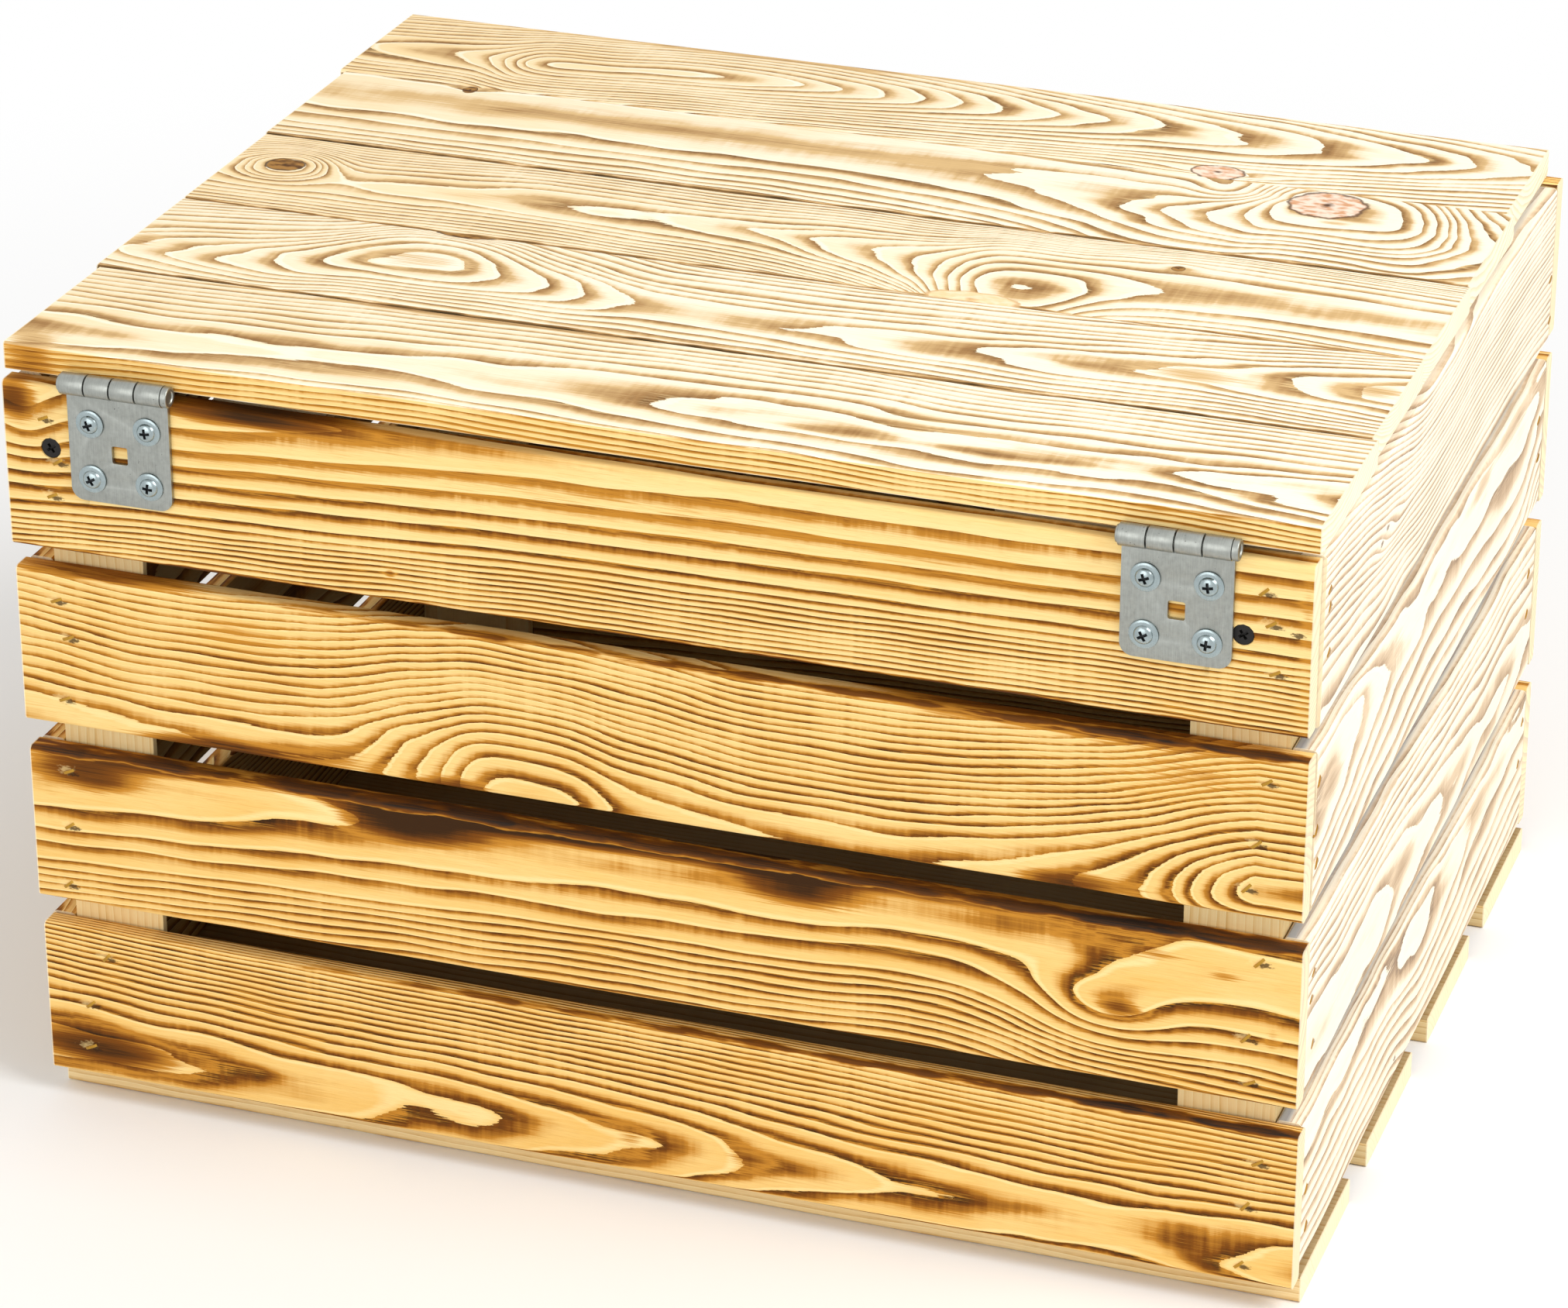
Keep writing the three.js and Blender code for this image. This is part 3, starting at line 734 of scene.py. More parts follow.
# How much of the dark painted shade the inner faces of the box's boards take.
INSIDE_PAINTED_SHADE = 0.6


def press_in(mesh, low, high, along, wear):
    """Moves every point inwards, by none to all of the wear."""
    middle = (low + high) / 2
    for vert in mesh.verts:
        for axis in range(3):
            if axis == along:
                continue
            side = 1 if vert.co[axis] > middle[axis] else -1
            spot = vert.co / WEAR_LENGTH + Vector((7.3 * axis, 3.1 * side, sum(middle) * 40))
            bite = max(0.0, 0.5 + noise.noise(spot))
            vert.co[axis] -= side * wear * min(1.0, bite)


def worn_board(node, body, material, wear):
    low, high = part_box(node)
    size = high - low
    along = max(range(3), key=lambda axis: size[axis])
    mesh = copy_of(node)
    normal = Vector((0, 0, 0))
    normal[along] = 1
    cuts = int(size[along] / CUT_EVERY)
    for n in range(1, cuts):
        point = low.copy()
        point[along] += size[along] * n / cuts
        geometry = mesh.verts[:] + mesh.edges[:] + mesh.faces[:]
        bmesh.ops.bisect_plane(mesh, geom=geometry, plane_co=point, plane_no=normal)
    press_in(mesh, low, high, along, wear)
    bmesh.ops.recalc_face_normals(mesh, faces=mesh.faces)
    board = link_piece(node + "_board", mesh, material)
    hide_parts(node)
    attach(board, body)


def dress(node, body, slot, along, out, colours, **look):
    low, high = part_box(node)
    # The box's inner faces get a painted shade; the lid and the posts don't.
    inner_shade = 0.0 if body == "lid" or "post" in node else INSIDE_PAINTED_SHADE
    material = pine(node + " wood", low, high, along, out, colours, inner_shade=inner_shade, **look)
    # The lid and the slat under it keep their narrow joint, so they are hardly worn.
    wear = LITTLE_WEAR if body == "lid" or node.endswith("slat_4") else WEAR
    worn_board(node, body, material, wear)


print("boards are worn by up to", WEAR / MM, "mm")

# %% [markdown]
# ## Rear slats
#
# A tree's rings lie round its pith, and a board is a flat cut beside that pith. So a few points of the
# pith's path under the face, and the radii of the rings, give every line on it. Both were worked out from
# the lines that the real boards show, because that takes a few dozen numbers where drawing the lines
# would take thousands.

# %% Grain of the rear slats
# Places along a long board, in mm from its middle.
LONG_STEPS = (-250, -190, -130, -70, -10, 50, 110, 170, 250)
REAR_GRAIN = {
    "rear_slat_4": dict(
        path=(
            LONG_STEPS,
            (34.5, 37.7, 38.2, 40.4, 41.4, 41.6, 43, 44.5, 44.7),
            (5.6, 6.2, 12.5, 15.3, 16.9, 18.6, 17.5, 16, 16.3),
        ),
        rings=(
            15.3, 23.6, 30, 36.6, 42.7, 49.3, 53.2, 56.2, 58.5, 60.8, 63.1, 65.4, 67.7, 70, 72.3, 74.5,
        ),
        bulges=((-240.5, 17.8, 13.1, 14.4, -6.3),),
    ),
    "rear_slat_3": dict(
        path=(
            (-250, -190, -130, -90, -42, 0, 50, 100, 170, 232),
            (-31.8, -36, -32.7, -29.2, -32.5, -33, -37.7, -37, -30.7, -20.8),
            (35.6, 36.3, 37.3, 31.1, 17.5, 25.6, 26.9, 27.4, 23.2, 5.3),
        ),
        rings=(
            4.8, 8, 11.1, 14, 16.6, 20, 24, 28, 31.5, 34.6, 37.4, 40, 42.6, 45, 47.7, 50.3, 53, 56, 58.8,
            61.4, 64.2, 67, 69.6, 72.5,
        ),
    ),
    "rear_slat_2": dict(
        path=(
            LONG_STEPS,
            (21.2, 23.5, 24.4, 24.9, 26.4, 27.1, 29.7, 21.7, 17.4),
            (23.6, 24.3, 26.8, 29.1, 29.7, 29, 29.5, 25.2, 24.5),
        ),
        rings=(27.2, 33.2, 37.8, 43.8, 46.6, 49.2, 52.2, 55.1, 58, 61, 64, 67),
        bulges=(
            (178.3, -2.6, 22.1, 15.2, -9.7), (162.6, 16, 25.2, 10.3, 5.6), (192, 27.7, 12.9, 11.7, 1.5),
            (-17.4, -2, 21.6, 5.1, -1.6),
        ),
    ),
    "rear_slat_1": dict(
        path=(
            LONG_STEPS,
            (-18.4, -20.4, -20.8, -20.1, -19.6, -17.5, -18.2, -19.1, -23.1),
            (68.3, 68.9, 69.7, 70.5, 71.4, 73.5, 74.5, 75, 73.7),
        ),
        rings=(
            66.5, 69, 70.6, 71.9, 73.3, 74.5, 75.8, 77.2, 78.4, 79.7, 81, 82.2, 83.4, 84.8, 86.2, 87.6,
            89, 90.5,
        ),
    ),
}
print("rings in each:", {node: len(grain["rings"]) for node, grain in REAR_GRAIN.items()})

# %% What the flame did to the rear slats
REAR_BURNS = {
    "rear_slat_4": dict(
        scorches=(
            (-150, 32, 42, 4, 1.2), (-246, 27, 10, 8, 0.9), (-96.5, -22, 3, 2.2, 0.55),
            (248, 0, 3, 40, 0.25), (0, 18, 270, 12, 0.3),
        ),
        upper_char=(0.3, 0.2, 0.8), lower_char=(0.9, 0.9, 1.0), tone=(0.3, 0.2), contrast=(1.3, 1.2),
        marks=((-234, 20), (-229, 3), (-232, -11), (232, 21), (235, 9), (237, -9.5), (243, 7)),
    ),
    "rear_slat_3": dict(
        scorches=(
            (-155, 18, 38, 7, 0.3), (-165, -31, 42, 4, 1.0), (-75, -31, 16, 4, 0.8),
            (165, -30, 24, 5, 0.9), (205, 20, 46, 10, 0.35), (150, 32, 80, 3, 0.9),
            (-215, 32, 50, 2, 0.8), (-120, -24, 14, 6, 0.35),
        ),
        upper_char=(0.3, 1.0, 1.3), lower_char=(0.2, 0.6, 0.7), tone=(0.45, 0.45), contrast=(0.75, 1.15),
        rough=0.224, marks=((-234, 20), (-230, 5), (-233, -21), (235, 22), (232, -3), (229, -21)),
    ),
    "rear_slat_2": dict(
        scorches=(
            (-228, 25, 26, 8, 1.0), (-190, 31, 40, 3, 0.9), (-92, 25, 30, 8, 1.2), (-50, 31, 70, 4, 1.0),
            (60, 25, 24, 8, 1.0), (60, 32, 130, 4, 1.0), (183, -2, 10, 4, 0.8), (195, 22, 14, 3, 0.5),
            (165, 24, 12, 3, 0.5), (-150, 22, 18, 5, -0.6), (222, 18, 9, 3, 0.45), (240, -5, 4, 8, 0.4),
        ),
        upper_char=(1.0, 1.0, 1.5), lower_char=(0.4, 0.3, 0.7), char_depth=0.2, tone=(0.6, 0.6),
        contrast=(0.9, 1.4),
        marks=((-234, 24), (-235, 0.5), (-237, -25), (234, 25.5), (230, -6), (232, -24)),
    ),
    "rear_slat_1": dict(
        scorches=(
            (-230, -20, 34, 8, 1.2), (-8, -18, 9, 9, 0.4), (38, -17, 12, 10, 0.4), (150, 22, 90, 8, 0.22),
            (165, -20, 26, 7, 0.25),
        ),
        upper_char=(0.3, 1.1, 1.3), lower_char=(0.4, 0.4, 0.7), tone=(0.65, 0.65), contrast=(1.5, 1.35),
        marks=((-224, 21), (-232, -1), (-233, -20), (235, 19), (231, 0), (229.5, -25)),
    ),
}
print("scorched patches:", sum(len(burns["scorches"]) for burns in REAR_BURNS.values()))

# %% Dress the rear slats
for node, grain in REAR_GRAIN.items():
    dress(node, "box", "scorched_pine", "X", "-Y", REAR_COLOURS, **grain, **REAR_BURNS[node])
print("dressed:", list(REAR_GRAIN))

# %% [markdown]
# ## Lid boards
#
# The lid was flamed lightly, more at its left end than at its right one, so its tone changes along the
# boards. Its colours are painted paler than its wood as painted light, and the boards' paling towards the
# right end is partly painted light too. Two knots with pink flesh, a pale one and some small brown ones lie
# where branches once left the trunk. The rings bulge round them.

# %% Grain of the lid boards
LID_GRAIN = {
    "lid_board_5": dict(
        path=(
            (-250, -200, -160, -110, -50, 10, 80, 150, 250),
            (-7.2, -3.1, -1.6, 6.1, 9.3, 10, 9.1, 7.8, 12.7),
            (27.5, 22.3, 5.3, 5.4, 13.6, 24.8, 35.1, 41, 51.5),
        ),
        rings=(7, 11.6, 14.5, 18.5, 22, 25, 28, 31.6, 34.2, 37.5, 40, 43, 47, 49.3, 52, 54.5, 57, 59.5),
        bulges=((131, -35.1, 28.8, 4, -4),),
    ),
    "lid_board_4": dict(
        path=(
            (-250, -170, -90, -10, 50, 85, 115, 145, 178, 250),
            (18.8, 19.7, 20.3, 19.1, 14.3, 7.1, 1, 7.6, 21.4, -3.9),
            (72.6, 72.2, 72.2, 72.1, 70.9, 69, 66.3, 60.2, 52.3, 75),
        ),
        rings=(53, 56.5, 59.7, 62.8, 66, 68.4, 71.6, 75.8, 79.6, 83.8, 87.3, 90.1, 92.6),
        bulges=((-191.7, 37.6, 7.4, 4.1, 2), (137.2, 30.7, 15, 14.4, 10.5)),
    ),
    "lid_board_3": dict(
        path=(
            (-250, -215, -180, -120, -50, 0, 45, 90, 130, 165, 250),
            (-4.5, -3.8, -2, 3.5, 1, -0.1, -7, -20.7, -7.6, -3.9, -7.8),
            (74.3, 74.3, 73.8, 72.8, 72.4, 70.8, 67.3, 54.6, 59.7, 60.6, 61.1),
        ),
        rings=(
            57.6, 60.4, 63.2, 66, 68.2, 69.8, 71.2, 72.1, 73, 74.3, 75.4, 76.5, 77.8, 78.9, 80.1, 81.4,
            82.8, 84.2,
        ),
        bulges=((-227.2, 11.6, 18.1, 18, -7.4), (140.7, 20.7, 7.7, 4.3, -2)),
    ),
    "lid_board_2": dict(
        path=(
            (-250, -190, -137, -80, -40, 0, 60, 120, 180, 250),
            (-15.9, -9.2, 7.2, -1.5, -8.2, -8.7, -8.3, -6.3, -1, 4.2),
            (74.8, 70.9, 66.9, 70.9, 73.3, 73.5, 72.6, 71.4, 70.2, 67),
        ),
        rings=(68, 69.3, 71.1, 72.4, 73.6, 74.8, 76.2, 77.5, 80, 82.5, 84.5, 86.3, 88),
        bulges=((-130.9, 40, 14, 4, 10),),
    ),
    "lid_board_1": dict(
        path=(
            LONG_STEPS,
            (-22.8, -18.8, -13.2, -10.8, -10.8, -10.9, -16, -13.5, -14.9),
            (73.3, 74.4, 74.7, 74, 72.7, 72, 72.2, 72, 70.5),
        ),
        rings=(70.6, 71.9, 73, 75.3, 78, 79.9, 82, 84.4, 86.6, 88.9, 91.4, 94.2, 96.5),
    ),
}
print("rings in each:", {node: len(grain["rings"]) for node, grain in LID_GRAIN.items()})

# %% What the flame did to the lid boards
# Each lid board's tone pales towards its right end: lighter flaming, and painted light from the lamp on that
# side.
LID_BURNS = {
    "lid_board_5": dict(
        scorches=((-90, 37, 150, 4, 0.55),), upper_char=(0.5, 0.2, 0.6), lower_char=(0.5, 0.4, 0.5),
        tone=(0.95, -0.1), knots=((130, -33, 11, 7, "pink"),), contrast=(1.15, 0.95),
    ),
    "lid_board_4": dict(
        scorches=((-100, 19, 150, 8, 0.6), (-60, 38, 150, 2.5, 0.3), (185, 6, 10, 4, 0.4)),
        upper_char=(0.3, 0.3, 0.5), lower_char=(1.2, 0.9, 1.0), tone=(0.65, -0.25), contrast=(1.0, 1.15),
        knots=((178, 25, 15.5, 14, "pink"), (-192, 36, 3, 4, "brown")),
    ),
    "lid_board_3": dict(
        scorches=((-130, 4, 22, 5, 0.3), (185, 4, 14, 5, 0.35)), upper_char=(0.4, 0.4, 0.6),
        lower_char=(1.0, 0.6, 0.9), tone=(0.8, 0.0), rough=0.192,
        knots=((-228, 8, 8, 6.5, "brown"), (140, 19, 2.6, 2.6, "brown"), (75, -38, 18, 7, "pale")),
    ),
    "lid_board_2": dict(
        scorches=(
            (175, -4, 28, 9, 0.5), (240, 4, 16, 9, 0.55), (-246, -8, 8, 9, 0.5), (-137, 8, 24, 10, 0.4),
        ),
        upper_char=(0.5, 0.3, 0.6), lower_char=(1.1, 1.0, 1.0), tone=(0.45, -0.2), contrast=(0.95, 1.1),
        knots=((-130, 39, 12, 4, "brown"),),
    ),
    "lid_board_1": dict(
        scorches=(
            (-100, 39, 90, 2.5, 0.7), (-240, -36, 12, 8, 0.6), (125, -6, 30, 7, 0.3),
            (-110, -26, 60, 4, 0.2), (-120, -41, 330, 0.6, 0.2),
        ),
        edge_colours=REAR_COLOURS, contrast=(1.0, 0.95), upper_char=(1.0, 1.0, 0.9),
        lower_char=(0.3, 0.35, 0.6), tone=(0.6, -0.2),
    ),
}
print("knots:", sum(len(burns.get("knots", ())) for burns in LID_BURNS.values()))

# %% Dress the lid boards
for node, grain in LID_GRAIN.items():
    dress(node, "lid", "lid_pine", "X", "+Z", LID_COLOURS_WITH_PAINTED_LIGHT, **grain, **LID_BURNS[node])
print("dressed:", list(LID_GRAIN))

# %% [markdown]
# ## Right slats
#
# The right side faces the brightest light. Its colours are paler wood, and painted paler still as painted
# light for that lamp. The ledges between its slats are blue-grey deeper in, under the slat above.

# %% Grain of the right slats
SHORT_STEPS = (-190, -145, -95, -48, 0, 48, 95, 145, 190)
RIGHT_GRAIN = {
    "right_slat_4": dict(
        path=(
            SHORT_STEPS,
            (-33.6, -39.5, -52.1, -69.5, -73.5, -68.2, -67.6, -68.2, -68.3),
            (52.8, 52, 47.9, 33.8, 28.3, 34.4, 34.1, 35.1, 38.2),
        ),
        rings=(
            56, 58.3, 60.6, 63, 65.3, 67.6, 70.2, 73, 75.6, 78, 80, 82.4, 84.7, 87, 89.3, 91.7, 94.3,
            96.6,
        ),
        bulges=((-87, -1.6, 23.5, 5.5, 3.5),),
    ),
    "right_slat_3": dict(
        path=(
            SHORT_STEPS,
            (8.4, 12.2, 14.4, 16.8, 20.7, 21.1, 15.8, 15.3, 31.9),
            (68.6, 70.1, 73.1, 74.5, 75, 74.8, 74.9, 75, 75),
        ),
        rings=(68.9, 71.5, 73.7, 75.6, 78.6, 83, 87, 91),
    ),
    "right_slat_2": dict(
        path=(
            SHORT_STEPS,
            (-14.3, -16.1, -16.7, -14.3, -16.6, -17.6, -18.2, -16.2, -16.2),
            (61.4, 61.4, 61.4, 63.2, 64.5, 65.7, 66.7, 67.5, 68.6),
        ),
        rings=(60, 63, 65.5, 67.2, 69, 71.5, 74, 76, 78.5, 81, 84),
    ),
    "right_slat_1": dict(
        path=(
            SHORT_STEPS,
            (23.9, 23.4, 25, 24.2, 16.3, 15.8, 16.4, 19.6, 22.2),
            (71.5, 71.7, 71.9, 71.8, 71.5, 72.9, 74.3, 74.9, 75),
        ),
        rings=(72.2, 74, 75.7, 78, 80.6, 83.5, 87),
    ),
}
print("rings in each:", {node: len(grain["rings"]) for node, grain in RIGHT_GRAIN.items()})

# %% What the flame did to the right slats
RIGHT_BURNS = {
    "right_slat_4": dict(
        upper_char=(0.1, 0.1, 0.5), lower_char=(0.8, 0.6, 0.9), char_depth=0.6, soot=0.3, tone=(0.4, 0.4),
        marks=((-184, 18), (-183, 11), (-182, -7), (186, -5), (189, -24), (-106, 2), (-98, 5)),
    ),
    "right_slat_3": dict(
        scorches=(
            (-165, 8, 18, 7, 0.5), (-122, 14, 10, 9, 0.35), (-70, 17, 18, 8, 0.4), (70, 25, 22, 6, 0.5),
            (130, 27, 40, 6, 0.6),
        ),
        upper_char=(0.3, 0.6, 0.8), char_depth=0.6, soot=0.85, tone=(0.25, 0.25),
        marks=((-187, 19), (-188, 0), (-186, -14), (180, 9), (183, -9)),
    ),
    "right_slat_2": dict(
        scorches=(
            (-40, -12, 22, 7, 0.6), (-150, -15, 26, 4, 0.3), (55, -16, 18, 7, 0.3),
            (170, -6, 30, 12, 0.2),
        ),
        upper_char=(0.5, 0.5, 0.8), char_depth=0.6, soot=0.85, tone=(0.25, 0.25),
        marks=((-183, 16), (-185, 6), (-180, -15), (178, 16), (179, -3)),
    ),
    "right_slat_1": dict(
        scorches=((-130, 22, 20, 7, 0.35), (95, 22, 28, 8, 0.6)), upper_char=(0.4, 0.5, 0.8),
        char_depth=0.6, soot=0.85, tone=(0.3, 0.3),
        marks=((-179, -1), (-177, -18), (180, 2), (184, 20), (-38, -23)),
    ),
}
print("slats with soot:", sum(burns["soot"] > 0 for burns in RIGHT_BURNS.values()))

# %% Dress the right slats
for node, grain in RIGHT_GRAIN.items():
    dress(node, "box", "scorched_pine", "Y", "+X", SIDE_COLOURS_WITH_PAINTED_LIGHT, **grain, **RIGHT_BURNS[node])
print("dressed:", list(RIGHT_GRAIN))

# %% [markdown]
# ## The other boards
#
# The front and the left side can't be seen from the photograph's angle, so they borrow the grain of the
# slats that can. The floor, the posts and the battens hardly show, and get plain straight grain.


# %% Front and left slats
def staple_places(reach, heights):
    """Staples at both ends of a slat, at these distances from its middle, in mm."""
    return [(side * reach, height) for side in (-1, 1) for height in heights]


FRONT_STAPLES = staple_places(232, (21, 1, -21))
LEFT_STAPLES = staple_places(184, (18, 0, -18))
FRONT_BURNS = dict(upper_char=(0.8, 0.5, 1.1), lower_char=(0.5, 0.5, 0.8), marks=FRONT_STAPLES)
LEFT_BURNS = dict(upper_char=(0.8, 0.8, 1.1), marks=LEFT_STAPLES)
for n in range(1, 5):
    grain = REAR_GRAIN[f"rear_slat_{5 - n}"]
    dress(f"front_slat_{n}", "box", "scorched_pine", "X", "+Y", REAR_COLOURS, **grain, **FRONT_BURNS)
    grain = RIGHT_GRAIN[f"right_slat_{5 - n}"]
    dress(f"left_slat_{n}", "box", "scorched_pine", "Y", "-X", REAR_COLOURS, **grain, **LEFT_BURNS)
print("staples in a front slat:", len(FRONT_STAPLES))

# %% Floor, battens and posts
STRAIGHT = dict(
    path=((-260, 0, 260), (-60, -56, -62), (30, 34, 30)), rings=tuple(30 + 2.8 * n for n in range(20)),
    contrast=(0.4, 0.4),
)
for n in range(1, 5):
    dress(f"floor_board_{n}", "box", "floor_pine", "X", "-Z", INSIDE_COLOURS, **STRAIGHT)
for side in ("left", "right"):
    dress(f"lid_batten_{side}", "lid", "floor_pine", "Y", "-Z", INSIDE_COLOURS, **STRAIGHT)
    for end, out in (("rear", "-Y"), ("front", "+Y")):
        dress(f"{end}_{side}_post", "box", "post_pine", "Z", out, POST_COLOURS, **STRAIGHT)

# %% [markdown]
# ## Metal
#
# The leaves are galvanised sheet: a satin grey with fine brush marks and a few dark specks. Screws are
# bright zinc, and two black screws hold the top slat to its posts. Staples are coated wire, the colour of
# old brass.


# %% Metal finishes
def in_millimetres(tree):
    sized = new_node(tree, "VectorMath", operation="DIVIDE")
    tree.links.new(new_node(tree, "TexCoord").outputs["Object"], sized.inputs[0])
    sized.inputs[1].default_value = (MM, MM, MM)
    return sized.outputs[0]


def metal(name, colour, roughness, metallic=1.0, brushed=0.3, specks=0.0):
    material = new_material(name)
    tree = material.node_tree
    surface = surface_node(material)
    surface.inputs["Metallic"].default_value = metallic
    place = in_millimetres(tree)
    streak = cloud(tree, place, (0.35, 7, 7), 3.0)
    mottle = cloud(tree, place, (2.2, 2.2, 2.2), 3.0, 0.6)
    shade = total(tree, times(tree, streak, brushed), times(tree, mottle, 0.5))
    dark = tuple(c * 0.72 for c in colour[:3]) + (1.0,)
    result = blend_colour(tree, stretch(tree, shade, -0.2, 0.2), dark, colour)
    if specks:
        dots = cloud(tree, place, (0.9, 0.9, 0.9), 1.0)
        patch = cloud(tree, place, (9, 9, 9), 1.0)
        spotted = stretch(tree, total(tree, dots, times(tree, patch, 0.5)), 0.3, 0.36, 0.0, specks)
        result = blend_colour(tree, spotted, result, srgb(46, 44, 42))
    feed(tree, surface.inputs["Base Color"], result)
    satin = stretch(tree, shade, -0.2, 0.2, roughness + 0.1, roughness - 0.05)
    feed(tree, surface.inputs["Roughness"], satin)
    return material


galvanised = metal("galvanised sheet", srgb(172, 175, 169), 0.4, brushed=0.5, specks=0.7)
zinc = metal("bright zinc", srgb(172, 186, 188), 0.24)
# The recess material is a dark grey, painted shade for the screws' cross recesses.
recess_painted_shade = metal("screw recess painted shade", srgb(52, 56, 58), 0.5, metallic=0.5)
black_steel = metal("black steel", srgb(34, 32, 30), 0.42, metallic=0.5)
brass_wire = metal("coated staple wire", srgb(196, 150, 62), 0.35)
print("metals:", [material.name for material in (galvanised, zinc, recess_painted_shade, black_steel, brass_wire)])

# %% [markdown]
# ## Leaves and pins
#
# A leaf is cut and rolled from sheet, and its coat of zinc rounds every edge that the shears left. So the
# copy of each CAD leaf gets a narrow bevel. Pins are turned, so they are spun from a profile.

# %% Leaves
SHEET_EDGE = 0.14 * MM
BEVELLED_FROM = math.radians(40)


def dressed_sheet(node, body):
    mesh = copy_of(node)
    joints = [edge for edge in mesh.edges if len(edge.link_faces) == 2]
    bmesh.ops.bevel(
        mesh, geom=[edge for edge in joints if edge.calc_face_angle() > BEVELLED_FROM], offset=SHEET_EDGE,
        offset_type="OFFSET", affect="EDGES", segments=2, profile=0.5, material=-1, clamp_overlap=True,
    )
    bmesh.ops.recalc_face_normals(mesh, faces=mesh.faces)
    leaf = link_piece(node + "_sheet", mesh, galvanised, sharp=30)
    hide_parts(node)
    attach(leaf, body)
    return leaf


for side in ("left", "right"):
    for body in ("box", "lid"):
        leaf = dressed_sheet(f"hinge_{side}_{body}_leaf", body)
        print(leaf.name, "has", len(leaf.data.polygons), "faces")

# %% Pins
# Radius and height in mm, from the middle of the flat end to the middle of the head.
PIN_PROFILE = (
    (0, -21.55), (2.7, -21.55), (3.15, -21.4), (3.3, -21.1), (3.3, -20.65), (2.3, -20.65), (2.3, 20.65),
    (4, 20.65), (4, 22.5), (3.9, 22.8), (3.6, 22.95), (2.7, 22.95), (2.5, 22.8), (2.3, 22.45), (0, 22.45),
)
SPIN_STEPS = 40


def turn(mesh, angle, axis):
    matrix = Matrix.Rotation(angle, 3, axis)
    bmesh.ops.rotate(mesh, verts=mesh.verts, cent=(0, 0, 0), matrix=matrix)


def turned(profile):
    """Spins a profile of (radius, height) pairs in mm round the Z axis."""
    mesh = bmesh.new()
    verts = [mesh.verts.new((radius * MM, 0, height * MM)) for radius, height in profile]
    edges = [mesh.edges.new(pair) for pair in zip(verts, verts[1:])]
    bmesh.ops.spin(
        mesh, geom=verts + edges, cent=(0, 0, 0), axis=(0, 0, 1), angle=2 * math.pi, steps=SPIN_STEPS,
        use_merge=True,
    )
    bmesh.ops.remove_doubles(mesh, verts=mesh.verts, dist=1e-7)
    bmesh.ops.recalc_face_normals(mesh, faces=mesh.faces)
    return mesh


for side in ("left", "right"):
    node = f"hinge_{side}_pin"
    low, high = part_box(node)
    mesh = turned(PIN_PROFILE)
    turn(mesh, math.pi / 2, "Y")
    middle = (low + high) / 2
    middle.x = low.x - PIN_PROFILE[0][1] * MM
    bmesh.ops.translate(mesh, verts=mesh.verts, vec=middle)
    pin = link_piece(node + "_turned", mesh, galvanised, sharp=50)
    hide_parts(node)
    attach(pin, "box")
    print(pin.name, "has", len(pin.data.polygons), "faces")

# %% [markdown]
# ## Screws
#
# A screw's head is pressed: a dome with a washer rolled out of it, and a cross driven into the top. The
# cross is a square grid without its corners. Its outline is joined to a circle, and the circle grows
# outwards and down in rings. The same cross, pushed down and narrowed, is the recess. Its walls and floor
# get a dark material, which is painted shade.


# %% From a cross to a circle
def verts_in(made):
    return [item for item in made if isinstance(item, bmesh.types.BMVert)]


def open_edges(mesh):
    return [edge for edge in mesh.edges if len(edge.link_faces) == 1]


def first_circle(mesh, edges, radius):
    """Extrudes the cross's outline out to a circle, with its points at even angles."""
    verts = verts_in(bmesh.ops.extrude_edge_only(mesh, edges=edges)["geom"])
    verts.sort(key=lambda vert: (math.atan2(vert.co.y, vert.co.x) - 0.001) % (2 * math.pi))
    for number, vert in enumerate(verts, 1):
        angle = 2 * math.pi * number / len(verts)
        vert.co = Vector((math.cos(angle), math.sin(angle), 0)) * radius * MM
    return verts


def grow_rings(mesh, edges, rings):
    """Extrudes a round edge loop through rings of (radius, height) in mm. The loop is about the Z axis."""
    for radius, height in rings:
        made = bmesh.ops.extrude_edge_only(mesh, edges=edges)["geom"]
        verts = verts_in(made)
        edges = [item for item in made if isinstance(item, bmesh.types.BMEdge)]
        wider = radius * MM / math.hypot(*verts[0].co.xy)
        bmesh.ops.scale(mesh, verts=verts, vec=(wider, wider, 1))
        bmesh.ops.translate(mesh, verts=verts, vec=(0, 0, height * MM - verts[0].co.z))
    return edges


trial = bmesh.new()
bmesh.ops.create_circle(trial, segments=12, radius=MM)
grow_rings(trial, trial.edges[:], ((2.0, 0.0), (2.0, -3.0)))
print("two rings grown from a circle of 12 edges have", len(trial.faces), "faces")
trial.free()

# %% The shape of a screw
# All in mm. The cross is driven in to its depth and narrows on the way down.
CROSS_SPAN, CROSS_SLOT, CROSS_DEPTH, CROSS_NARROWING = 4.0, 1.1, 1.3, 0.72


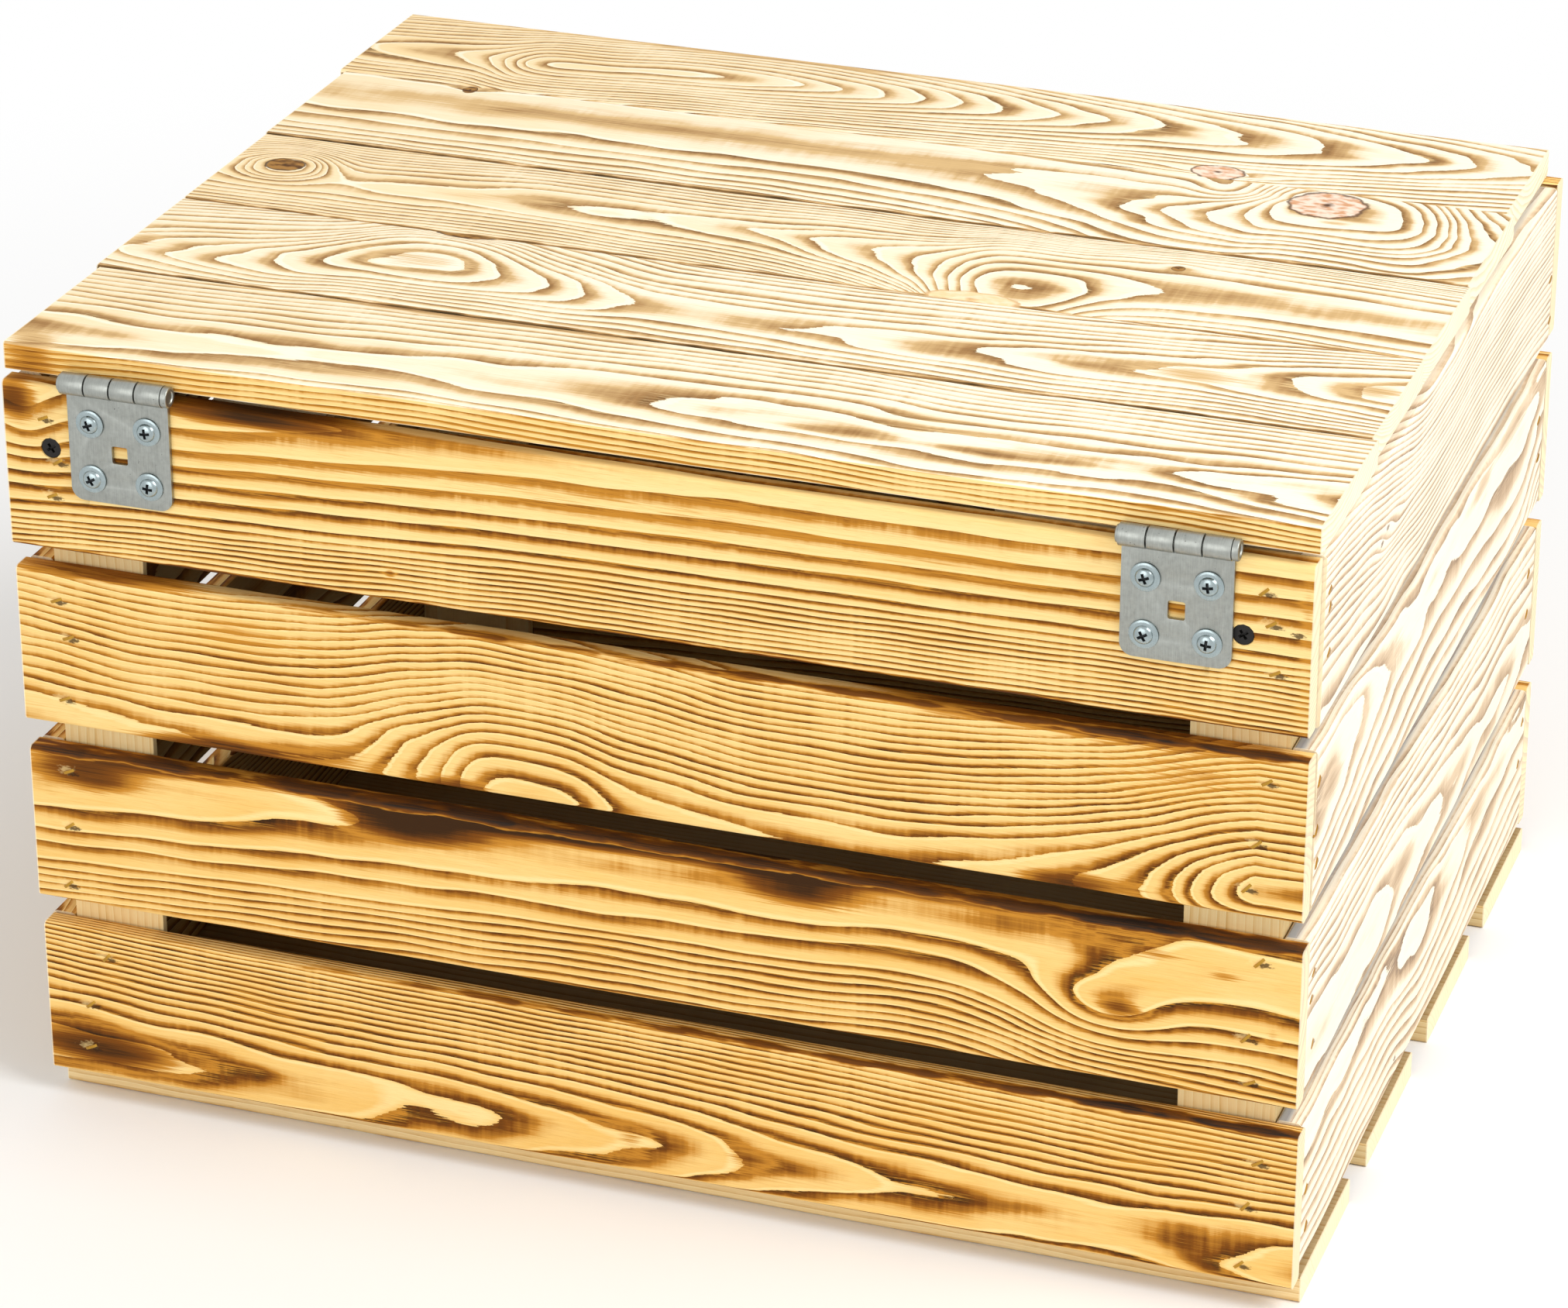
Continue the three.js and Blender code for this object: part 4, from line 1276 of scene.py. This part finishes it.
def screw_mesh(dome, rings):
    """A screw about the Z axis. The dome gives the head's radius, its rise and where it starts."""
    radius, rise, base = dome
    mesh = bmesh.new()
    bmesh.ops.create_grid(mesh, x_segments=3, y_segments=3, size=1)
    middles = {face: face.calc_center_median() for face in mesh.faces}
    corners = [face for face, middle in middles.items() if abs(middle.x * middle.y) > 0.2]
    bmesh.ops.delete(mesh, geom=corners, context="FACES")
    for vert in mesh.verts:
        for axis in range(2):
            half = (CROSS_SPAN if abs(vert.co[axis]) > 0.5 else CROSS_SLOT) / 2
            vert.co[axis] = math.copysign(half * MM, vert.co[axis])
    bmesh.ops.subdivide_edges(mesh, edges=open_edges(mesh), cuts=3)
    cross = mesh.faces[:]
    circle = set(first_circle(mesh, open_edges(mesh), radius))
    spokes = [edge for edge in mesh.edges if (edge.verts[0] in circle) != (edge.verts[1] in circle)]
    bmesh.ops.subdivide_edges(mesh, edges=spokes, cuts=4)
    for vert in mesh.verts:
        share = min(1.0, math.hypot(*vert.co.xy) / (radius * MM))
        vert.co.z = (base + rise * math.sqrt(max(0.0, 1 - share**2))) * MM
    bottom = verts_in(bmesh.ops.extrude_face_region(mesh, geom=cross)["geom"])
    bmesh.ops.delete(mesh, geom=cross, context="FACES")
    for vert in bottom:
        vert.co.z = (base + rise - CROSS_DEPTH) * MM
    bmesh.ops.scale(mesh, verts=bottom, vec=(CROSS_NARROWING, CROSS_NARROWING, 1))
    last = grow_rings(mesh, open_edges(mesh), rings)
    bmesh.ops.holes_fill(mesh, edges=last)
    bmesh.ops.recalc_face_normals(mesh, faces=mesh.faces)
    return mesh


WASHER_DOME = (3.6, 1.6, 0.8)
WASHER_RINGS = (
    (3.75, 0.8), (4.6, 0.72), (5.2, 0.6), (5.45, 0.42), (5.5, 0.2), (5.4, 0.03), (5.2, 0.0), (2.0, 0.0),
    (2.0, -7.6), (0.25, -10.0),
)
BLACK_DOME = (3.6, 0.0, 0.0)
BLACK_RINGS = ((3.8, -0.02), (3.9, -0.12), (3.85, -0.25), (1.8, -2.6), (1.8, -22.3), (0.25, -25.0))
trial = screw_mesh(WASHER_DOME, WASHER_RINGS)
print("a washer-head screw has", len(trial.faces), "faces")
trial.free()

# %% Put the screws in
def paint_recess_shade(mesh, dome):
    """Gives the recess's walls and floor the second material, a dark one that is painted shade."""
    floor = (dome[2] + dome[1] - 0.85) * MM
    for face in mesh.faces:
        centre = face.calc_center_median()
        inside = math.hypot(*centre.xy) < 2.05 * MM and centre.z > -0.5 * MM
        face.material_index = int(inside and (abs(face.normal.z) < 0.6 or centre.z < floor))


def put_screw(node, body, slot, dome, rings, metal_of, head, spin):
    """Head is the direction the screw's head looks: -Y or -Z. Spin turns the cross, as a driver left it."""
    low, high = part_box(node)
    mesh = screw_mesh(dome, rings)
    paint_recess_shade(mesh, dome)
    turn(mesh, spin, "Z")
    turn(mesh, math.pi / 2 if head == "-Y" else math.pi, "X")
    middle = (low + high) / 2
    axis = "XYZ".index(head[1])
    middle[axis] = low[axis] - min(vert.co[axis] for vert in mesh.verts)
    bmesh.ops.translate(mesh, verts=mesh.verts, vec=middle)
    screw = link_piece(node + "_screw", mesh, metal_of, sharp=40)
    screw.data.materials.append(recess_painted_shade)
    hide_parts(node)
    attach(screw, body)


SPINS = (0.35, 0.12, 0.5, -0.1)
WASHER_HEAD = ("zinc_screw", WASHER_DOME, WASHER_RINGS, zinc)
for side in ("left", "right"):
    for n, spin in enumerate(SPINS, 1):
        put_screw(f"hinge_{side}_box_screw_{n}", "box", *WASHER_HEAD, "-Y", spin)
        put_screw(f"hinge_{side}_lid_screw_{n}", "lid", *WASHER_HEAD, "-Z", -spin)
    put_screw(f"black_screw_{side}", "box", "black_screw", BLACK_DOME, BLACK_RINGS, black_steel, "-Y", 0.6)

# %% [markdown]
# ## Staples
#
# Wire staples hold every slat to its posts, two or three at each end. The crown is flat wire, driven a
# little askew and pulled into the wood, so its ends bend down. One bent crown is made from a stretched
# cube and copied.

# %% One staple
STAPLE_LENGTH, STAPLE_WIDTH, STAPLE_HEIGHT = 5.6 * MM, 1.1 * MM, 0.9 * MM
STAPLE_BEND = 0.7 * MM
QUARTER = {"-Y": 0, "+X": math.pi / 2, "+Y": math.pi, "-X": -math.pi / 2}


def add_staple(mesh, place, out, lean):
    one = bmesh.new()
    bmesh.ops.create_cube(one, size=1)
    bmesh.ops.scale(one, verts=one.verts, vec=(STAPLE_LENGTH, STAPLE_HEIGHT, STAPLE_WIDTH))
    long_edges = [edge for edge in one.edges if edge.calc_length() > STAPLE_LENGTH / 2]
    bmesh.ops.subdivide_edges(one, edges=long_edges, cuts=4)
    for vert in one.verts:
        vert.co.y += STAPLE_BEND * (2 * vert.co.x / STAPLE_LENGTH) ** 4
    turn(one, -lean, "Y")
    turn(one, QUARTER[out], "Z")
    bmesh.ops.translate(one, verts=one.verts, vec=place)
    # The bent crown joins the others by way of a passing mesh block.
    passing = bpy.data.meshes.new("staple")
    one.to_mesh(passing)
    one.free()
    mesh.from_mesh(passing)
    bpy.data.meshes.remove(passing)


print("a staple's crown in mm:", [round(v / MM, 1) for v in (STAPLE_LENGTH, STAPLE_WIDTH, STAPLE_HEIGHT)])

# %% Staples of each slat
PROUD, HARDLY_PROUD = 0.35 * MM, 0.03 * MM


def staples_of(node, along, out, marks, proud=PROUD):
    low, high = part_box(node)
    face, into = (low, 1) if out[0] == "-" else (high, -1)
    axis = "XYZ".index(out[1])
    mesh = bmesh.new()
    for number, (u, height) in enumerate(marks):
        place = (low + high) / 2
        place["XYZ".index(along)] += u * MM
        place.z += height * MM
        place[axis] = face[axis] + into * (STAPLE_HEIGHT / 2 - proud)
        add_staple(mesh, place, out, math.radians(38 + 14 * math.sin(2.4 * number + u)))
    bmesh.ops.recalc_face_normals(mesh, faces=mesh.faces)
    staples = link_piece(node + "_staples", mesh, brass_wire)
    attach(staples, "box")


def staples_among(marks, low, high=math.inf):
    """The marks that a staple made: those at the ends. The others are torn fibres."""
    return [mark for mark in marks if low < abs(mark[0]) < high]


for n in range(1, 5):
    staples_of(f"rear_slat_{n}", "X", "-Y", staples_among(REAR_BURNS[f"rear_slat_{n}"]["marks"], 0, 240))
    staples_of(f"right_slat_{n}", "Y", "+X", staples_among(RIGHT_BURNS[f"right_slat_{n}"]["marks"], 170))
    staples_of(f"front_slat_{n}", "X", "+Y", FRONT_STAPLES, HARDLY_PROUD)
    staples_of(f"left_slat_{n}", "Y", "-X", LEFT_STAPLES)
